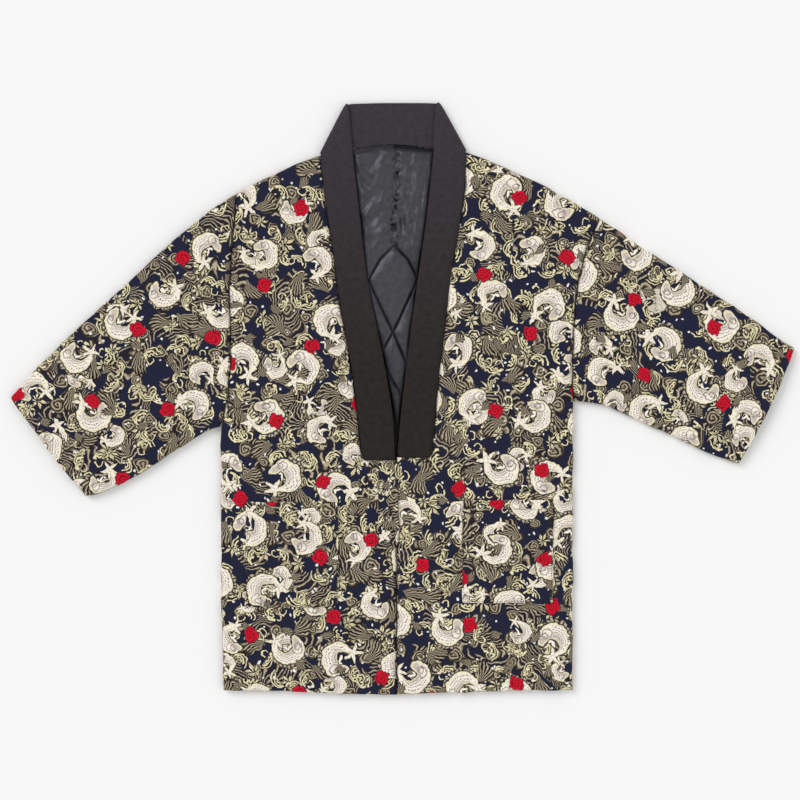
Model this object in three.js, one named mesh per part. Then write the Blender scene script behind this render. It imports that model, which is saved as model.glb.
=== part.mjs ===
// A padded hanten laid flat on its back, front up, sleeves spread and slanting down.
// Millimetres, +Z up. The garment is drawn as a tailor marks cloth: x from the centre
// front, y from the hem upwards, and the whole is then moved so that the frame's origin
// lies on the floor under the middle of the garment.
import * as THREE from "three";

// Cloth, and the levels above the floor at which the layers lie
const SEAM_GAP = 0.3; // clearance between sewn pieces
const SHELL = 1.8; // printed cotton of the back
const LINING_LOW = 2.1; // underside of the quilted lining
const MIDDLE = 5.4; // level between the lower and the upper layers
const HALF_SLIT = 0.2; // half the clearance between those layers
const LAYER = 5.2; // padded wall of a front, a sleeve or the folded collar
const STACK = MIDDLE + HALF_SLIT + LAYER; // upper face of the fronts
const PUFF = 2.4; // rise of a padded panel between its seams
const RIM = [0, 1.3, 4.5]; // steps in from an edge where the cloth rolls over
const TURNING = 5.0; // width of the back's turned edge, which wraps the lining
const QUILT_DEPTH = 2.2; // how far the stitches pull the lining down
const OPEN_RISE = 1.7; // rise of the lining where nothing lies on it
const POCKET_WALL = 1.8;
const POCKET_PUFF = 1.4;
const TIE_WALL = 2.2;
const CUFF_OPENING = 1.8; // added to half the slit at the open cuff

// Plan of the body
const OPENING_X = 1;
const HEM_RISE = 6; // the hem is this much higher at the side seams
const FRAME_SHIFT = { x: -9, y: -429 };
const LEFT = {
  sign: -1,
  half: 254.8,
  hem: { x: -251, y: 5 },
  underarm: 387,
  shoulderBow: 3,
  arm: [
    { x: -255.5, y: 387 }, { x: -244, y: 427 }, { x: -240, y: 490 }, { x: -241, y: 545 },
    { x: -242.5, y: 590 }, { x: -239, y: 635 }, { x: -235.3, y: 677 }, { x: -232.4, y: 727 },
  ],
  pocket: { outer: 218, inner: 84.5, foot: 127, mouth: 279 },
};
const RIGHT = {
  sign: 1,
  half: 256.5,
  hem: { x: 257, y: 6 },
  underarm: 424,
  shoulderBow: 7.5,
  arm: [
    { x: 257, y: 424 }, { x: 255.8, y: 458 }, { x: 256, y: 494 }, { x: 257, y: 530 },
    { x: 260, y: 567 }, { x: 264.5, y: 603 }, { x: 277, y: 655 }, { x: 295, y: 691 },
  ],
  pocket: { outer: 227, inner: 95.3, foot: 132.5, mouth: 282 },
};

// Collar band from its lower end to the neck point: seam edge and free edge
const LEFT_COLLAR = [
  { seamX: -49.7, seamY: 341, freeX: -1.9, freeY: 339 },
  { seamX: -56, seamY: 400, freeX: -3.5, freeY: 400 },
  { seamX: -61, seamY: 450, freeX: -12, freeY: 450 },
  { seamX: -70, seamY: 505, freeX: -22, freeY: 505 },
  { seamX: -82, seamY: 565, freeX: -35.5, freeY: 565 },
  { seamX: -89, seamY: 625, freeX: -46, freeY: 625 },
  { seamX: -98, seamY: 685, freeX: -51.5, freeY: 685 },
  { seamX: -105.5, seamY: 735, freeX: -58, freeY: 735 },
  { seamX: -110.5, seamY: 782, freeX: -63, freeY: 786 },
];
const RIGHT_COLLAR = [
  { seamX: 51.5, seamY: 344, freeX: 1.8, freeY: 350 },
  { seamX: 56, seamY: 400, freeX: 6, freeY: 400 },
  { seamX: 60.5, seamY: 450, freeX: 11.5, freeY: 450 },
  { seamX: 66, seamY: 505, freeX: 18.2, freeY: 505 },
  { seamX: 74, seamY: 565, freeX: 26, freeY: 565 },
  { seamX: 81, seamY: 625, freeX: 34.5, freeY: 625 },
  { seamX: 92.5, seamY: 685, freeX: 43.5, freeY: 685 },
  { seamX: 99.5, seamY: 735, freeX: 49, freeY: 735 },
  { seamX: 101.5, seamY: 786.5, freeX: 54.8, freeY: 789 },
];
// Where the band folds from front to back: the fold's foot and head, and its direction out
const LEFT_FOLD = {
  seamX: -107.2, seamY: 783, freeX: -69.8, freeY: 856, outX: -0.891, outY: 0.453,
  fan: [{ freeX: -65.5, freeY: 812 }, { freeX: -67.5, freeY: 836 }],
};
const RIGHT_FOLD = {
  seamX: 98, seamY: 787, freeX: 59, freeY: 858, outX: 0.878, outY: 0.479,
  fan: [{ freeX: 54.5, freeY: 814 }, { freeX: 56, freeY: 838 }],
};
const BACK_NECK = [
  { seamX: -94, seamY: 787, freeX: -65, freeY: 857.5 },
  { seamX: -78, seamY: 789.5, freeX: -55, freeY: 857.5 },
  { seamX: -58, seamY: 793, freeX: -40, freeY: 858 },
  { seamX: -32, seamY: 797, freeX: -22, freeY: 858.5 },
  { seamX: -4, seamY: 799, freeX: -4, freeY: 858.5 },
  { seamX: 24, seamY: 797, freeX: 14, freeY: 858.5 },
  { seamX: 50, seamY: 793.5, freeX: 31, freeY: 858.5 },
  { seamX: 70, seamY: 790.5, freeX: 44, freeY: 858.5 },
  { seamX: 85, seamY: 788.5, freeX: 53, freeY: 858 },
];
const FOLD_TURNS = [15, 45, 90, 135, 165]; // degrees round the fold
const BAND_STEPS = [0, 0.05, 0.5, 0.95, 1]; // across the band, seam to free edge

// Sleeves beyond the armhole: the fold along the arm and the underarm seam, and how far
// a ring bows out between them
const LEFT_SLEEVE = [
  { topX: -270, topY: 703, lowX: -279, lowY: 380 },
  { topX: -306, topY: 674, lowX: -299, lowY: 367.5 },
  { topX: -345, topY: 640, lowX: -321, lowY: 353 },
  { topX: -386, topY: 601, lowX: -343, lowY: 338.5 },
  { topX: -430, topY: 561, lowX: -372, lowY: 319 },
  { topX: -473, topY: 521, lowX: -400, lowY: 304 },
  { topX: -517, topY: 479, lowX: -426, lowY: 292 },
  { topX: -550, topY: 442, lowX: -444, lowY: 287.5, bow: 1.5 },
  { topX: -560.5, topY: 431, lowX: -450, lowY: 286, bow: 2 },
];
const RIGHT_SLEEVE = [
  { topX: 316, topY: 677, lowX: 284, lowY: 424 },
  { topX: 352, topY: 653, lowX: 312, lowY: 416.5 },
  { topX: 392, topY: 627, lowX: 342, lowY: 402 },
  { topX: 432, topY: 600.5, lowX: 373, lowY: 387 },
  { topX: 478, topY: 571.5, lowX: 405, lowY: 373 },
  { topX: 521, topY: 542, lowX: 435, lowY: 358.5 },
  { topX: 552, topY: 519, lowX: 464, lowY: 345 },
  { topX: 570, topY: 507, lowX: 488, lowY: 337, bow: 4.5 },
  { topX: 578, topY: 502.5, lowX: 496.5, lowY: 334.5, bow: 5.5 },
];

// Soft ridges where the laid cloth is pushed up: foot, head, height and half width
const FOLDS = [
  { fromX: -262, fromY: 402, toX: -130, toY: 475, height: 2.8, width: 17 },
  { fromX: -250, fromY: 560, toX: -243, toY: 435, height: 2.2, width: 14 },
  { fromX: -330, fromY: 505, toX: -268, toY: 410, height: 3.0, width: 18 },
  { fromX: -455, fromY: 470, toX: -330, toY: 370, height: 2.2, width: 20 },
  { fromX: 262, fromY: 445, toX: 140, toY: 512, height: 2.6, width: 17 },
  { fromX: 276, fromY: 650, toX: 262, toY: 520, height: 2.4, width: 14 },
  { fromX: 266, fromY: 446, toX: 352, toY: 540, height: 3.0, width: 19 },
  { fromX: 365, fromY: 425, toX: 486, toY: 500, height: 2.2, width: 20 },
  { fromX: -176, fromY: 650, toX: -150, toY: 520, height: 1.8, width: 20 },
  { fromX: 176, fromY: 640, toX: 140, toY: 545, height: 1.8, width: 20 },
  { fromX: -205, fromY: 20, toX: -196, toY: 112, height: 1.8, width: 18 },
  { fromX: 62, fromY: 20, toX: 70, toY: 150, height: 1.8, width: 18 },
  { fromX: 205, fromY: 20, toX: 190, toY: 116, height: 1.6, width: 18 },
];

// Cloth ties sewn under the lower ends of the collar, lying on the left front
const TIES = [
  { name: "tie_left", topX: -17.5, topY: 337.5, footX: -17.9, footY: 220, width: 16 },
  { name: "tie_right", topX: -2.6, topY: 337.2, footX: -3.6, footY: 217, width: 12.6 },
];

// Quilting: diamonds of these half sizes about one crossing of the stitches
const DIAMOND = { halfWidth: 36.5, halfHeight: 63, x: -5, y: 525, steps: 4 };

const PRINT = { color: 0x9a917c, roughness: 0.85, metalness: 0 };
const BLACK_CLOTH = { color: 0x2b2829, roughness: 0.9, metalness: 0 };
const BLACK_LINING = { color: 0x3b3b3f, roughness: 0.5, metalness: 0 };

const mix = (a, b, t) => a + (b - a) * t;
const clamp01 = (t) => Math.min(1, Math.max(0, t));
const ease = (t) => clamp01(t) ** 2 * (3 - 2 * clamp01(t));
const mixPoint = (a, b, t) => ({ x: mix(a.x, b.x, t), y: mix(a.y, b.y, t) });
const vec = (x, y, z) => new THREE.Vector3(x, y, z);

// Value of one column of a table at a key, along its rows
function columnAt(table, column, at, key) {
  let k = 1;
  while (k < table.length - 1 && table[k][key] < at) k += 1;
  const a = table[k - 1];
  const b = table[k];
  return mix(a[column], b[column], clamp01((at - a[key]) / (b[key] - a[key])));
}

// How far the folds lift the cloth at a point of the plan
function foldLift(x, y) {
  let lift = 0;
  for (const fold of FOLDS) {
    const alongX = fold.toX - fold.fromX;
    const alongY = fold.toY - fold.fromY;
    const length = Math.hypot(alongX, alongY);
    const t = ((x - fold.fromX) * alongX + (y - fold.fromY) * alongY) / length ** 2;
    const away = ((x - fold.fromX) * alongY - (y - fold.fromY) * alongX) / length;
    const past = Math.max(0, -t, t - 1) * length;
    const end = Math.sin(Math.PI * mix(0.15, 0.85, clamp01(t))) * ease(1 - past / (2 * fold.width));
    lift = Math.max(lift, fold.height * end * Math.exp(-((away / fold.width) ** 2)));
  }
  return lift;
}

// How far a rolled edge has dropped at a distance in from it
function rollDrop(distance, depth) {
  const out = 1 - clamp01(distance / RIM[2]);
  return depth * (1 - Math.sqrt(Math.max(0, 1 - out * out)));
}

// Geometry of a closed surface, turned so that its faces point outwards
function solidFrom(points, faces) {
  let volume = 0;
  const cross = new THREE.Vector3();
  for (const [a, b, c] of faces) {
    volume += points[a].dot(cross.crossVectors(points[b], points[c]));
  }
  const order = volume < 0 ? faces.map(([a, b, c]) => [a, c, b]) : faces;
  const geometry = new THREE.BufferGeometry();
  const flat = points.flatMap((p) => [p.x + FRAME_SHIFT.x, p.y + FRAME_SHIFT.y, p.z]);
  geometry.setAttribute("position", new THREE.Float32BufferAttribute(flat, 3));
  geometry.setIndex(order.flat());
  geometry.computeVertexNormals();
  return geometry;
}

// A closed wall over a grid: at(i, j) gives its lower and upper points, has(i, j) tells
// which cells are cloth, and leansBack(i, j) which diagonal a cell is split along
function wall(rows, columns, at, has = () => true, leansBack = () => false) {
  const points = [];
  const number = new Map();
  const pointAt = (i, j, side) => {
    const key = `${i},${j},${side}`;
    if (!number.has(key)) {
      number.set(key, points.length);
      points.push(at(i, j)[side]);
    }
    return number.get(key);
  };
  const faces = [];
  const edges = new Map();
  for (let i = 0; i < rows; i += 1) {
    for (let j = 0; j < columns; j += 1) {
      if (!has(i, j)) continue;
      const corners = [[i, j], [i, j + 1], [i + 1, j + 1], [i + 1, j]];
      const up = corners.map(([r, c]) => pointAt(r, c, "upper"));
      const down = corners.map(([r, c]) => pointAt(r, c, "lower"));
      const split = leansBack(i, j) ? [[0, 1, 3], [1, 2, 3]] : [[0, 1, 2], [0, 2, 3]];
      for (const [a, b, c] of split) {
        faces.push([up[a], up[b], up[c]], [down[a], down[c], down[b]]);
      }
      for (let n = 0; n < 4; n += 1) {
        const m = (n + 1) % 4;
        const back = `${up[m]},${up[n]}`;
        if (edges.has(back)) edges.delete(back);
        else edges.set(`${up[n]},${up[m]}`, [up[n], up[m], down[m], down[n]]);
      }
    }
  }
  for (const [a, b, c, d] of edges.values()) faces.push([b, a, d], [b, d, c]);
  return solidFrom(points, faces);
}

// A closed tube wall through rings of outer and inner points, open at both ends
function tube(rings) {
  const count = rings[0].outer.length;
  const points = rings.flatMap((ring) => [...ring.outer, ...ring.inner]);
  const faces = [];
  const quad = (a, b, c, d) => faces.push([a, b, c], [a, c, d]);
  const index = (k, side, n) => k * 2 * count + side * count + (n % count);
  for (let k = 0; k < rings.length - 1; k += 1) {
    for (let n = 0; n < count; n += 1) {
      quad(index(k, 0, n), index(k, 0, n + 1), index(k + 1, 0, n + 1), index(k + 1, 0, n));
      quad(index(k, 1, n), index(k + 1, 1, n), index(k + 1, 1, n + 1), index(k, 1, n + 1));
    }
  }
  const last = rings.length - 1;
  for (let n = 0; n < count; n += 1) {
    quad(index(0, 0, n), index(0, 1, n), index(0, 1, n + 1), index(0, 0, n + 1));
    quad(index(last, 0, n), index(last, 0, n + 1), index(last, 1, n + 1), index(last, 1, n));
  }
  return solidFrom(points, faces);
}

// Points down a side of the body from hem to shoulder, with steps at both rolled edges
function sidePoints(side) {
  const { sign, hem, arm, pocket } = side;
  const edgeX = sign * side.half;
  const low = [60, pocket.foot];
  const hemPoints = [...RIM, TURNING].map((d) => ({ x: hem.x, y: hem.y + d }));
  const rise = (y) => mix(hem.x, edgeX, ease(y / pocket.foot));
  const steps = [0.25, 0.5, 0.75].map((t) => mix(pocket.foot, pocket.mouth, t));
  const straight = [...low, ...steps, pocket.mouth, 336];
  const top = arm[arm.length - 1];
  const under = arm[arm.length - 2];
  const length = Math.hypot(top.x - under.x, top.y - under.y);
  const insets = [TURNING, RIM[2], RIM[1], 0].map((d) => mixPoint(top, under, d / length));
  return [...hemPoints, ...straight.map((y) => ({ x: rise(y), y })), ...arm.slice(0, -1), ...insets];
}
const HEM_ROWS = 4;
const NOTCH_ROW = HEM_ROWS + 6;
const TOP_ROWS = 4;

// One front as a grid. Columns up to the collar seam run the whole height, and the rest
// fill the space between that line and the opening, below the collar.
function frontGrid(side) {
  const { sign, pocket } = side;
  const collar = side === LEFT ? LEFT_COLLAR : RIGHT_COLLAR;
  const edge = sidePoints(side);
  const notchY = Math.min(collar[0].seamY, collar[0].freeY) - SEAM_GAP;
  const neck = collar[collar.length - 1];
  const seamX = (k) => collar[k].seamX + sign * (SEAM_GAP + 0.05);
  const rows = edge.map((outer, i) => {
    if (i < NOTCH_ROW) {
      return {
        outer, seam: { x: seamX(0), y: outer.y }, open: { x: OPENING_X + sign * 0.4, y: outer.y },
      };
    }
    if (i === NOTCH_ROW) {
      return {
        outer, seam: { x: seamX(0), y: notchY }, open: { x: OPENING_X + sign * 0.4, y: notchY },
      };
    }
    const above = i - NOTCH_ROW;
    if (i < edge.length - TOP_ROWS) {
      return { outer, seam: { x: seamX(above), y: collar[above].seamY } };
    }
    const inset = [TURNING, RIM[2], RIM[1], 0][i - (edge.length - TOP_ROWS)];
    const d = mixPoint({ x: seamX(collar.length - 1), y: neck.seamY },
      { x: seamX(collar.length - 2), y: collar[collar.length - 2].seamY }, inset / 40);
    return { outer, seam: d };
  });
  const span = side.half - Math.abs(collar[0].seamX);
  const share = (x) => (side.half - x) / span;
  const columns = [0, RIM[1] / span, RIM[2] / span, share(pocket.outer),
    share(mix(pocket.outer, pocket.inner, 0.25)), share(mix(pocket.outer, pocket.inner, 0.5)),
    share(mix(pocket.outer, pocket.inner, 0.75)), share(pocket.inner), 1];
  return { side, rows, columns, beyond: [0.35, 0.8, 0.96, 1] };
}

// Plan point of a grid crossing of a front, with the hem's slight dip
function frontPoint(grid, i, j) {
  const { side, rows, columns, beyond } = grid;
  const row = rows[i];
  const seamColumn = columns.length - 1;
  const isHem = i < HEM_ROWS;
  let point;
  if (j <= seamColumn) point = mixPoint(row.outer, row.seam, columns[j]);
  else point = mixPoint(row.seam, row.open, beyond[j - seamColumn - 1]);
  if (isHem) {
    const centre = 1 - ease(Math.abs(point.x) / side.half);
    point.y -= HEM_RISE * centre;
  }
  const bow = ease((i - NOTCH_ROW) / (rows.length - 1 - NOTCH_ROW));
  if (j <= seamColumn) point.y += 4 * side.shoulderBow * bow * columns[j] * (1 - columns[j]);
  return { ...point, x: point.x - (j === 0 ? side.sign * SEAM_GAP / 2 : 0) };
}

// Distance of a point to the nearest of the edges that hold the cloth down
function heldDistance(side, x, y, fromShoulder) {
  const edgeX = side.sign * side.half;
  const fromSide = y < side.underarm
    ? Math.abs(edgeX - x)
    : Math.hypot(edgeX - x, y - side.underarm);
  return Math.min(fromSide, fromShoulder);
}

// Lower and upper heights of a front at a grid crossing
function frontLevels(grid, i, j) {
  const { side, rows, columns, beyond } = grid;
  const { x, y } = frontPoint(grid, i, j);
  const last = rows.length - 1;
  const top = frontPoint(grid, last, Math.min(j, columns.length - 1));
  const sewnSide = i <= NOTCH_ROW;
  const depth = LAYER - 0.9;
  const fromTop = [RIM[2] + 1, RIM[2], RIM[1], 0][i - (rows.length - TOP_ROWS)] ?? 99;
  const fromSide = sewnSide && j < 3 ? RIM[j] : 99;
  const fromHem = i < RIM.length ? RIM[i] : 99;
  const pastSeam = j - (columns.length - 1);
  const fromOpening = pastSeam > 0 ? (1 - beyond[pastSeam - 1]) * 50 : 99;
  const held = heldDistance(side, x, y, Math.max(0, top.y - y));
  const seamDistance = i <= NOTCH_ROW
    ? Math.abs(x) - 36
    : Math.abs(x - rows[i].seam.x);
  const flat = ease(seamDistance / 40);
  const lift = ease(held / 30) * flat * foldLift(x, y)
    + PUFF * flat * ease(held / 45) * ease(y / 60);
  const drop = Math.max(rollDrop(fromTop, depth), rollDrop(fromSide, depth),
    rollDrop(fromHem, 2), rollDrop(fromOpening, 2));
  const low = MIDDLE + HALF_SLIT;
  return { low: low + lift, high: STACK + lift - drop };
}

function frontWall(grid) {
  const seamColumn = grid.columns.length - 1;
  const columns = seamColumn + grid.beyond.length;
  return wall(grid.rows.length - 1, columns, (i, j) => {
    const { x, y } = frontPoint(grid, i, j);
    const { low, high } = frontLevels(grid, i, j);
    return { lower: vec(x, y, low), upper: vec(x, y, high) };
  }, (i, j) => i < NOTCH_ROW || j < seamColumn);
}

// A patch pocket over the front's own grid points, moved out and a little full
function pocketWall(grid) {
  const firstRow = HEM_ROWS + 1;
  const firstColumn = 3;
  const rows = 4;
  const columns = 4;
  return wall(rows, columns, (i, j) => {
    const { x, y } = frontPoint(grid, firstRow + i, firstColumn + j);
    const { high } = frontLevels(grid, firstRow + i, firstColumn + j);
    const full = POCKET_PUFF * Math.sin(Math.PI * j / columns) * Math.sin(Math.PI * i / (rows + 1));
    const low = high + SEAM_GAP + full;
    return { lower: vec(x, y, low), upper: vec(x, y, low + POCKET_WALL) };
  });
}

// The back's top edge from shoulder to shoulder, just under the collar's seam
function topLine() {
  const shoulder = (side, collar) => {
    const top = side.arm[side.arm.length - 1];
    const neck = { x: collar[collar.length - 1].seamX, y: collar[collar.length - 1].seamY };
    const along = (t) => {
      const p = mixPoint(top, neck, t);
      return { x: p.x, y: p.y + 4 * side.shoulderBow * t * (1 - t) };
    };
    return { top, middle: along(0.5), near: along(0.88), neck: { ...neck, neck: true } };
  };
  const left = shoulder(LEFT, LEFT_COLLAR);
  const right = shoulder(RIGHT, RIGHT_COLLAR);
  const neckline = BACK_NECK.map((n) => ({ x: n.seamX, y: n.seamY - 0.35, neck: true }));
  const rim = [RIM[1], RIM[2], TURNING];
  const inset = (side) => rim.map((d) => {
    const p = mixPoint(side.top, side.middle, d / Math.hypot(side.top.x - side.middle.x,
      side.top.y - side.middle.y));
    return { ...p, fromSide: d };
  });
  return [{ ...left.top, fromSide: 0 }, ...inset(left), left.middle, left.near, left.neck,
    ...neckline, right.neck, right.near, right.middle, ...inset(right).reverse(),
    { ...right.top, fromSide: 0 }];
}

// The back: flat on the floor, its edges rolling up to meet the fronts
function backWall() {
  const leftEdge = sidePoints(LEFT);
  const rightEdge = sidePoints(RIGHT);
  const line = topLine();
  const first = line[0];
  const last = line[line.length - 1];
  const rows = leftEdge.length - 1;
  const depth = MIDDLE - HALF_SLIT - 0.9;
  return wall(rows, line.length - 1, (i, j) => {
    const share = (line[j].x - first.x) / (last.x - first.x);
    const { fromSide } = line[j];
    const crown = line[j].y - mix(first.y, last.y, share);
    const base = mixPoint(leftEdge[i], rightEdge[i], share);
    let { x, y } = base;
    if (fromSide !== undefined) {
      x = share < 0.5 ? leftEdge[i].x + fromSide : rightEdge[i].x - fromSide;
      x += (share < 0.5 ? 1 : -1) * SEAM_GAP / 2;
    }
    if (i < HEM_ROWS) y -= HEM_RISE * (1 - ease(Math.abs(x) / LEFT.half));
    y += crown * ease((i - NOTCH_ROW) / (rows - NOTCH_ROW));
    const topInset = [TURNING, RIM[2], RIM[1], 0][i - (rows + 1 - TOP_ROWS)] ?? 99;
    const hemInset = [...RIM, TURNING][i] ?? 99;
    const atNeck = line[j].neck === true;
    const onSide = fromSide ?? 99;
    const sideRoll = i <= NOTCH_ROW ? rollDrop(onSide, depth) : 0;
    const topRoll = atNeck ? 0 : rollDrop(topInset, depth);
    const lower = Math.max(sideRoll, topRoll, rollDrop(hemInset, 2));
    const turned = Math.min(onSide, atNeck ? 99 : topInset, hemInset) < TURNING;
    return { lower: vec(x, y, lower), upper: vec(x, y, turned ? MIDDLE - HALF_SLIT : SHELL) };
  });
}

// How far inside the neck opening a point lies
function insideOpening(x, y) {
  const left = columnAt(LEFT_COLLAR, "freeX", y, "freeY");
  const right = columnAt(RIGHT_COLLAR, "freeX", y, "freeY");
  return Math.min(x - left, right - x, y - LEFT_COLLAR[0].freeY);
}

// Fullness of a quilted diamond: 0 on the stitches, 1 in the middle
function pillow(x, y) {
  const p = (x - DIAMOND.x) / DIAMOND.halfWidth;
  const q = (y - DIAMOND.y) / DIAMOND.halfHeight;
  const fromLine = (v) => Math.abs(v - 2 * Math.round(v / 2));
  return [p + q, p - q].reduce((f, v) => f * (1 - (1 - fromLine(v)) ** 2.4), 1);
}

// The lining, cut inside the back's turned edges. Its grid follows the quilting in the
// neck opening, where it is seen, and is plain beyond.
function liningWall() {
  const { halfWidth, halfHeight, steps } = DIAMOND;
  const stepX = halfWidth / steps;
  const stepY = halfHeight / steps;
  const centre = Array.from({ length: 4 * steps + 1 }, (_, k) => DIAMOND.x + (k - 2 * steps) * stepX);
  const seen = Array.from({ length: 7 * steps + 1 }, (_, k) => DIAMOND.y + (k - 3 * steps) * stepY);
  const lowRows = [HEM_RISE + TURNING + 0.8, 90, 200, 300];
  const ys = [...lowRows, ...seen, null];
  const outer = [0, 0.3, 0.65];
  const margin = TURNING + 3;
  const neckline = [{ x: -107.2, y: 781 }, ...BACK_NECK.map((n) => ({ x: n.seamX, y: n.seamY })),
    { x: 97.8, y: 785 }];
  const edgePoint = (side, y) => {
    const top = side.arm[side.arm.length - 1];
    const edgeY = y <= 336 ? y : mix(336, top.y - 14, (y - 336) / (790 - 336));
    const edge = sidePoints(side);
    const x = columnAt(edge, "x", edgeY, "y");
    return { x: x - side.sign * margin, y: edgeY };
  };
  const columns = [...outer.map((t) => ({ side: LEFT, t })), ...centre.map((x) => ({ x })),
    ...[...outer].reverse().map((t) => ({ side: RIGHT, t }))];
  const at = (i, j) => {
    const column = columns[j];
    const yAt = (x) => (ys[i] === null ? columnAt(neckline, "y", x, "x") - 1 : ys[i]);
    let x;
    let y;
    if (column.side) {
      const innerX = column.side === LEFT ? centre[0] : centre[centre.length - 1];
      const inner = { x: innerX, y: yAt(innerX) - (ys[i] === null ? 26 : 0) };
      ({ x, y } = mixPoint(edgePoint(column.side, ys[i] ?? 790), inner, column.t));
    } else {
      x = column.x;
      y = yAt(x);
    }
    const open = ease(insideOpening(x, y) / 14);
    const centreSeam = Math.exp(-(((x - DIAMOND.x) / 5) ** 2)) * ease((y - 640) / 20);
    const full = pillow(x, y) * (1 - 0.8 * centreSeam);
    const high = MIDDLE - HALF_SLIT + open * (OPEN_RISE - QUILT_DEPTH * (1 - full));
    return { lower: vec(x, y, LINING_LOW), upper: vec(x, y, high) };
  };
  const firstSeen = lowRows.length;
  const leansBack = (i, j) => {
    const k = j - outer.length - 2 * steps;
    const m = i - firstSeen - 3 * steps;
    return (Math.floor(k / steps) + Math.floor(m / steps)) % 2 !== 0;
  };
  return wall(ys.length - 1, columns.length - 1, at, () => true, leansBack);
}

// The collar: one folded band from the left front's edge, round the back neck, to the right
function collarWall() {
  const fronts = (list, side) => list.map((c) => ({ ...c, turn: 0, side }));
  const folded = (fold, side) => [
    ...fold.fan.map((f, k) => ({
      seamX: mix(side.seamX, fold.seamX, 0.4 + 0.3 * k), seamY: mix(side.seamY, fold.seamY, 0.5),
      ...f, turn: 0,
    })),
    { ...fold, turn: 0 },
    ...FOLD_TURNS.map((turn) => ({ ...fold, turn })),
    { ...fold, turn: 180 },
  ];
  const left = folded(LEFT_FOLD, LEFT_COLLAR[LEFT_COLLAR.length - 1]);
  const right = folded(RIGHT_FOLD, RIGHT_COLLAR[RIGHT_COLLAR.length - 1]);
  const path = [...fronts(LEFT_COLLAR), ...left, ...BACK_NECK.map((n) => ({ ...n, turn: 180 })),
    ...right.reverse(), ...fronts(RIGHT_COLLAR).reverse()];
  return wall(path.length - 1, BAND_STEPS.length - 1, (i, j) => {
    const s = path[i];
    const t = BAND_STEPS[j];
    const angle = THREE.MathUtils.degToRad(s.turn);
    const outX = (s.outX ?? 0) * Math.sin(angle);
    const outY = (s.outY ?? 0) * Math.sin(angle);
    const end = i === 0 || i === path.length - 1;
    const soft = (j === 0 ? 0.6 : 0) + (j === BAND_STEPS.length - 1 ? 1.8 : 0) + (end ? 1.2 : 0);
    const x = mix(s.seamX, s.freeX, t);
    const y = mix(s.seamY, s.freeY, t);
    const near = HALF_SLIT;
    const far = HALF_SLIT + LAYER - soft;
    const place = (r) => vec(x + outX * r, y + outY * r, MIDDLE + r * Math.cos(angle));
    return { lower: place(near), upper: place(far) };
  });
}

// A sleeve: flattened rings from the armhole to the cuff, a slit open at both ends
function sleeveTube(side, sections) {
  const { sign, arm } = side;
  const top = arm[arm.length - 1];
  const low = arm[0];
  const armLine = arm.map((p) => ({ x: p.x + sign * (SEAM_GAP / 2 + 0.05), y: p.y }));
  const spread = arm.map((p) => (p.y - low.y) / (top.y - low.y));
  const rings = [null, ...sections];
  const line = (section, share) => {
    if (section) {
      const [riseX, riseY] = [section.topX - section.lowX, section.topY - section.lowY];
      const out = (sign * 4 * (section.bow ?? 0) * share * (1 - share)) / Math.hypot(riseX, riseY);
      return {
        x: mix(section.lowX, section.topX, share) + out * riseY,
        y: mix(section.lowY, section.topY, share) - out * riseX,
      };
    }
    let k = 1;
    while (k < spread.length - 1 && spread[k] < share) k += 1;
    const t = (share - spread[k - 1]) / (spread[k] - spread[k - 1]);
    return mixPoint(armLine[k - 1], armLine[k], t);
  };
  return tube(rings.map((section, k) => {
    const foot = line(section, 0);
    const head = line(section, 1);
    const length = Math.hypot(head.x - foot.x, head.y - foot.y);
    const near = RIM.map((d) => d / length);
    const shares = [...near, ...spread.slice(1, -1), ...near.map((d) => 1 - d).reverse()];
    const cuff = ease((k - rings.length + 3.5) / 2.5) * CUFF_OPENING;
    const cuffEdge = k === rings.length - 1 ? 1.2 : 0;
    const layer = (upper) => shares.map((share) => {
      const p = line(section, share);
      const fromEdge = Math.min(share, 1 - share) * length;
      const lift = ease(fromEdge / 30) * foldLift(p.x, p.y) + PUFF * 0.8 * ease(fromEdge / 45);
      const open = cuff * Math.sin(Math.PI * share);
      const roll = rollDrop(fromEdge, LAYER - 1.0);
      const outerUp = STACK + lift + open - roll - cuffEdge;
      const innerUp = MIDDLE + HALF_SLIT + (lift + open) * ease((fromEdge - RIM[1]) / 8);
      return upper
        ? { outer: vec(p.x, p.y, outerUp), inner: p, innerZ: innerUp }
        : { outer: vec(p.x, p.y, roll), inner: p, innerZ: MIDDLE - HALF_SLIT };
    });
    const wallShare = (share) => {
      const inset = (RIM[2] + 0.2) / length;
      return mix(inset, 1 - inset, share);
    };
    const up = layer(true);
    const down = layer(false).reverse();
    const innerOf = (list, order) => list.map((entry, n) => {
      const share = wallShare(order[n]);
      const p = line(section, share);
      return vec(p.x, p.y, entry.innerZ);
    });
    return {
      outer: [...up.map((e) => e.outer), ...down.map((e) => e.outer)],
      inner: [...innerOf(up, shares), ...innerOf(down, [...shares].reverse())],
    };
  }));
}

// A tie: a soft flat strap from the collar's end down the front
function tieWall(tie) {
  const level = STACK + SEAM_GAP;
  const steps = 4;
  const across = [0, 0.15, 0.85, 1];
  return wall(steps, across.length - 1, (i, j) => {
    const t = i / steps;
    const centreX = mix(tie.topX, tie.footX, t);
    const x = centreX + (across[j] - 0.5) * tie.width;
    const y = mix(tie.topY, tie.footY, t);
    const soft = j === 0 || j === across.length - 1 ? 0.8 : 0;
    return { lower: vec(x, y, level), upper: vec(x, y, level + TIE_WALL - soft) };
  });
}

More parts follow.
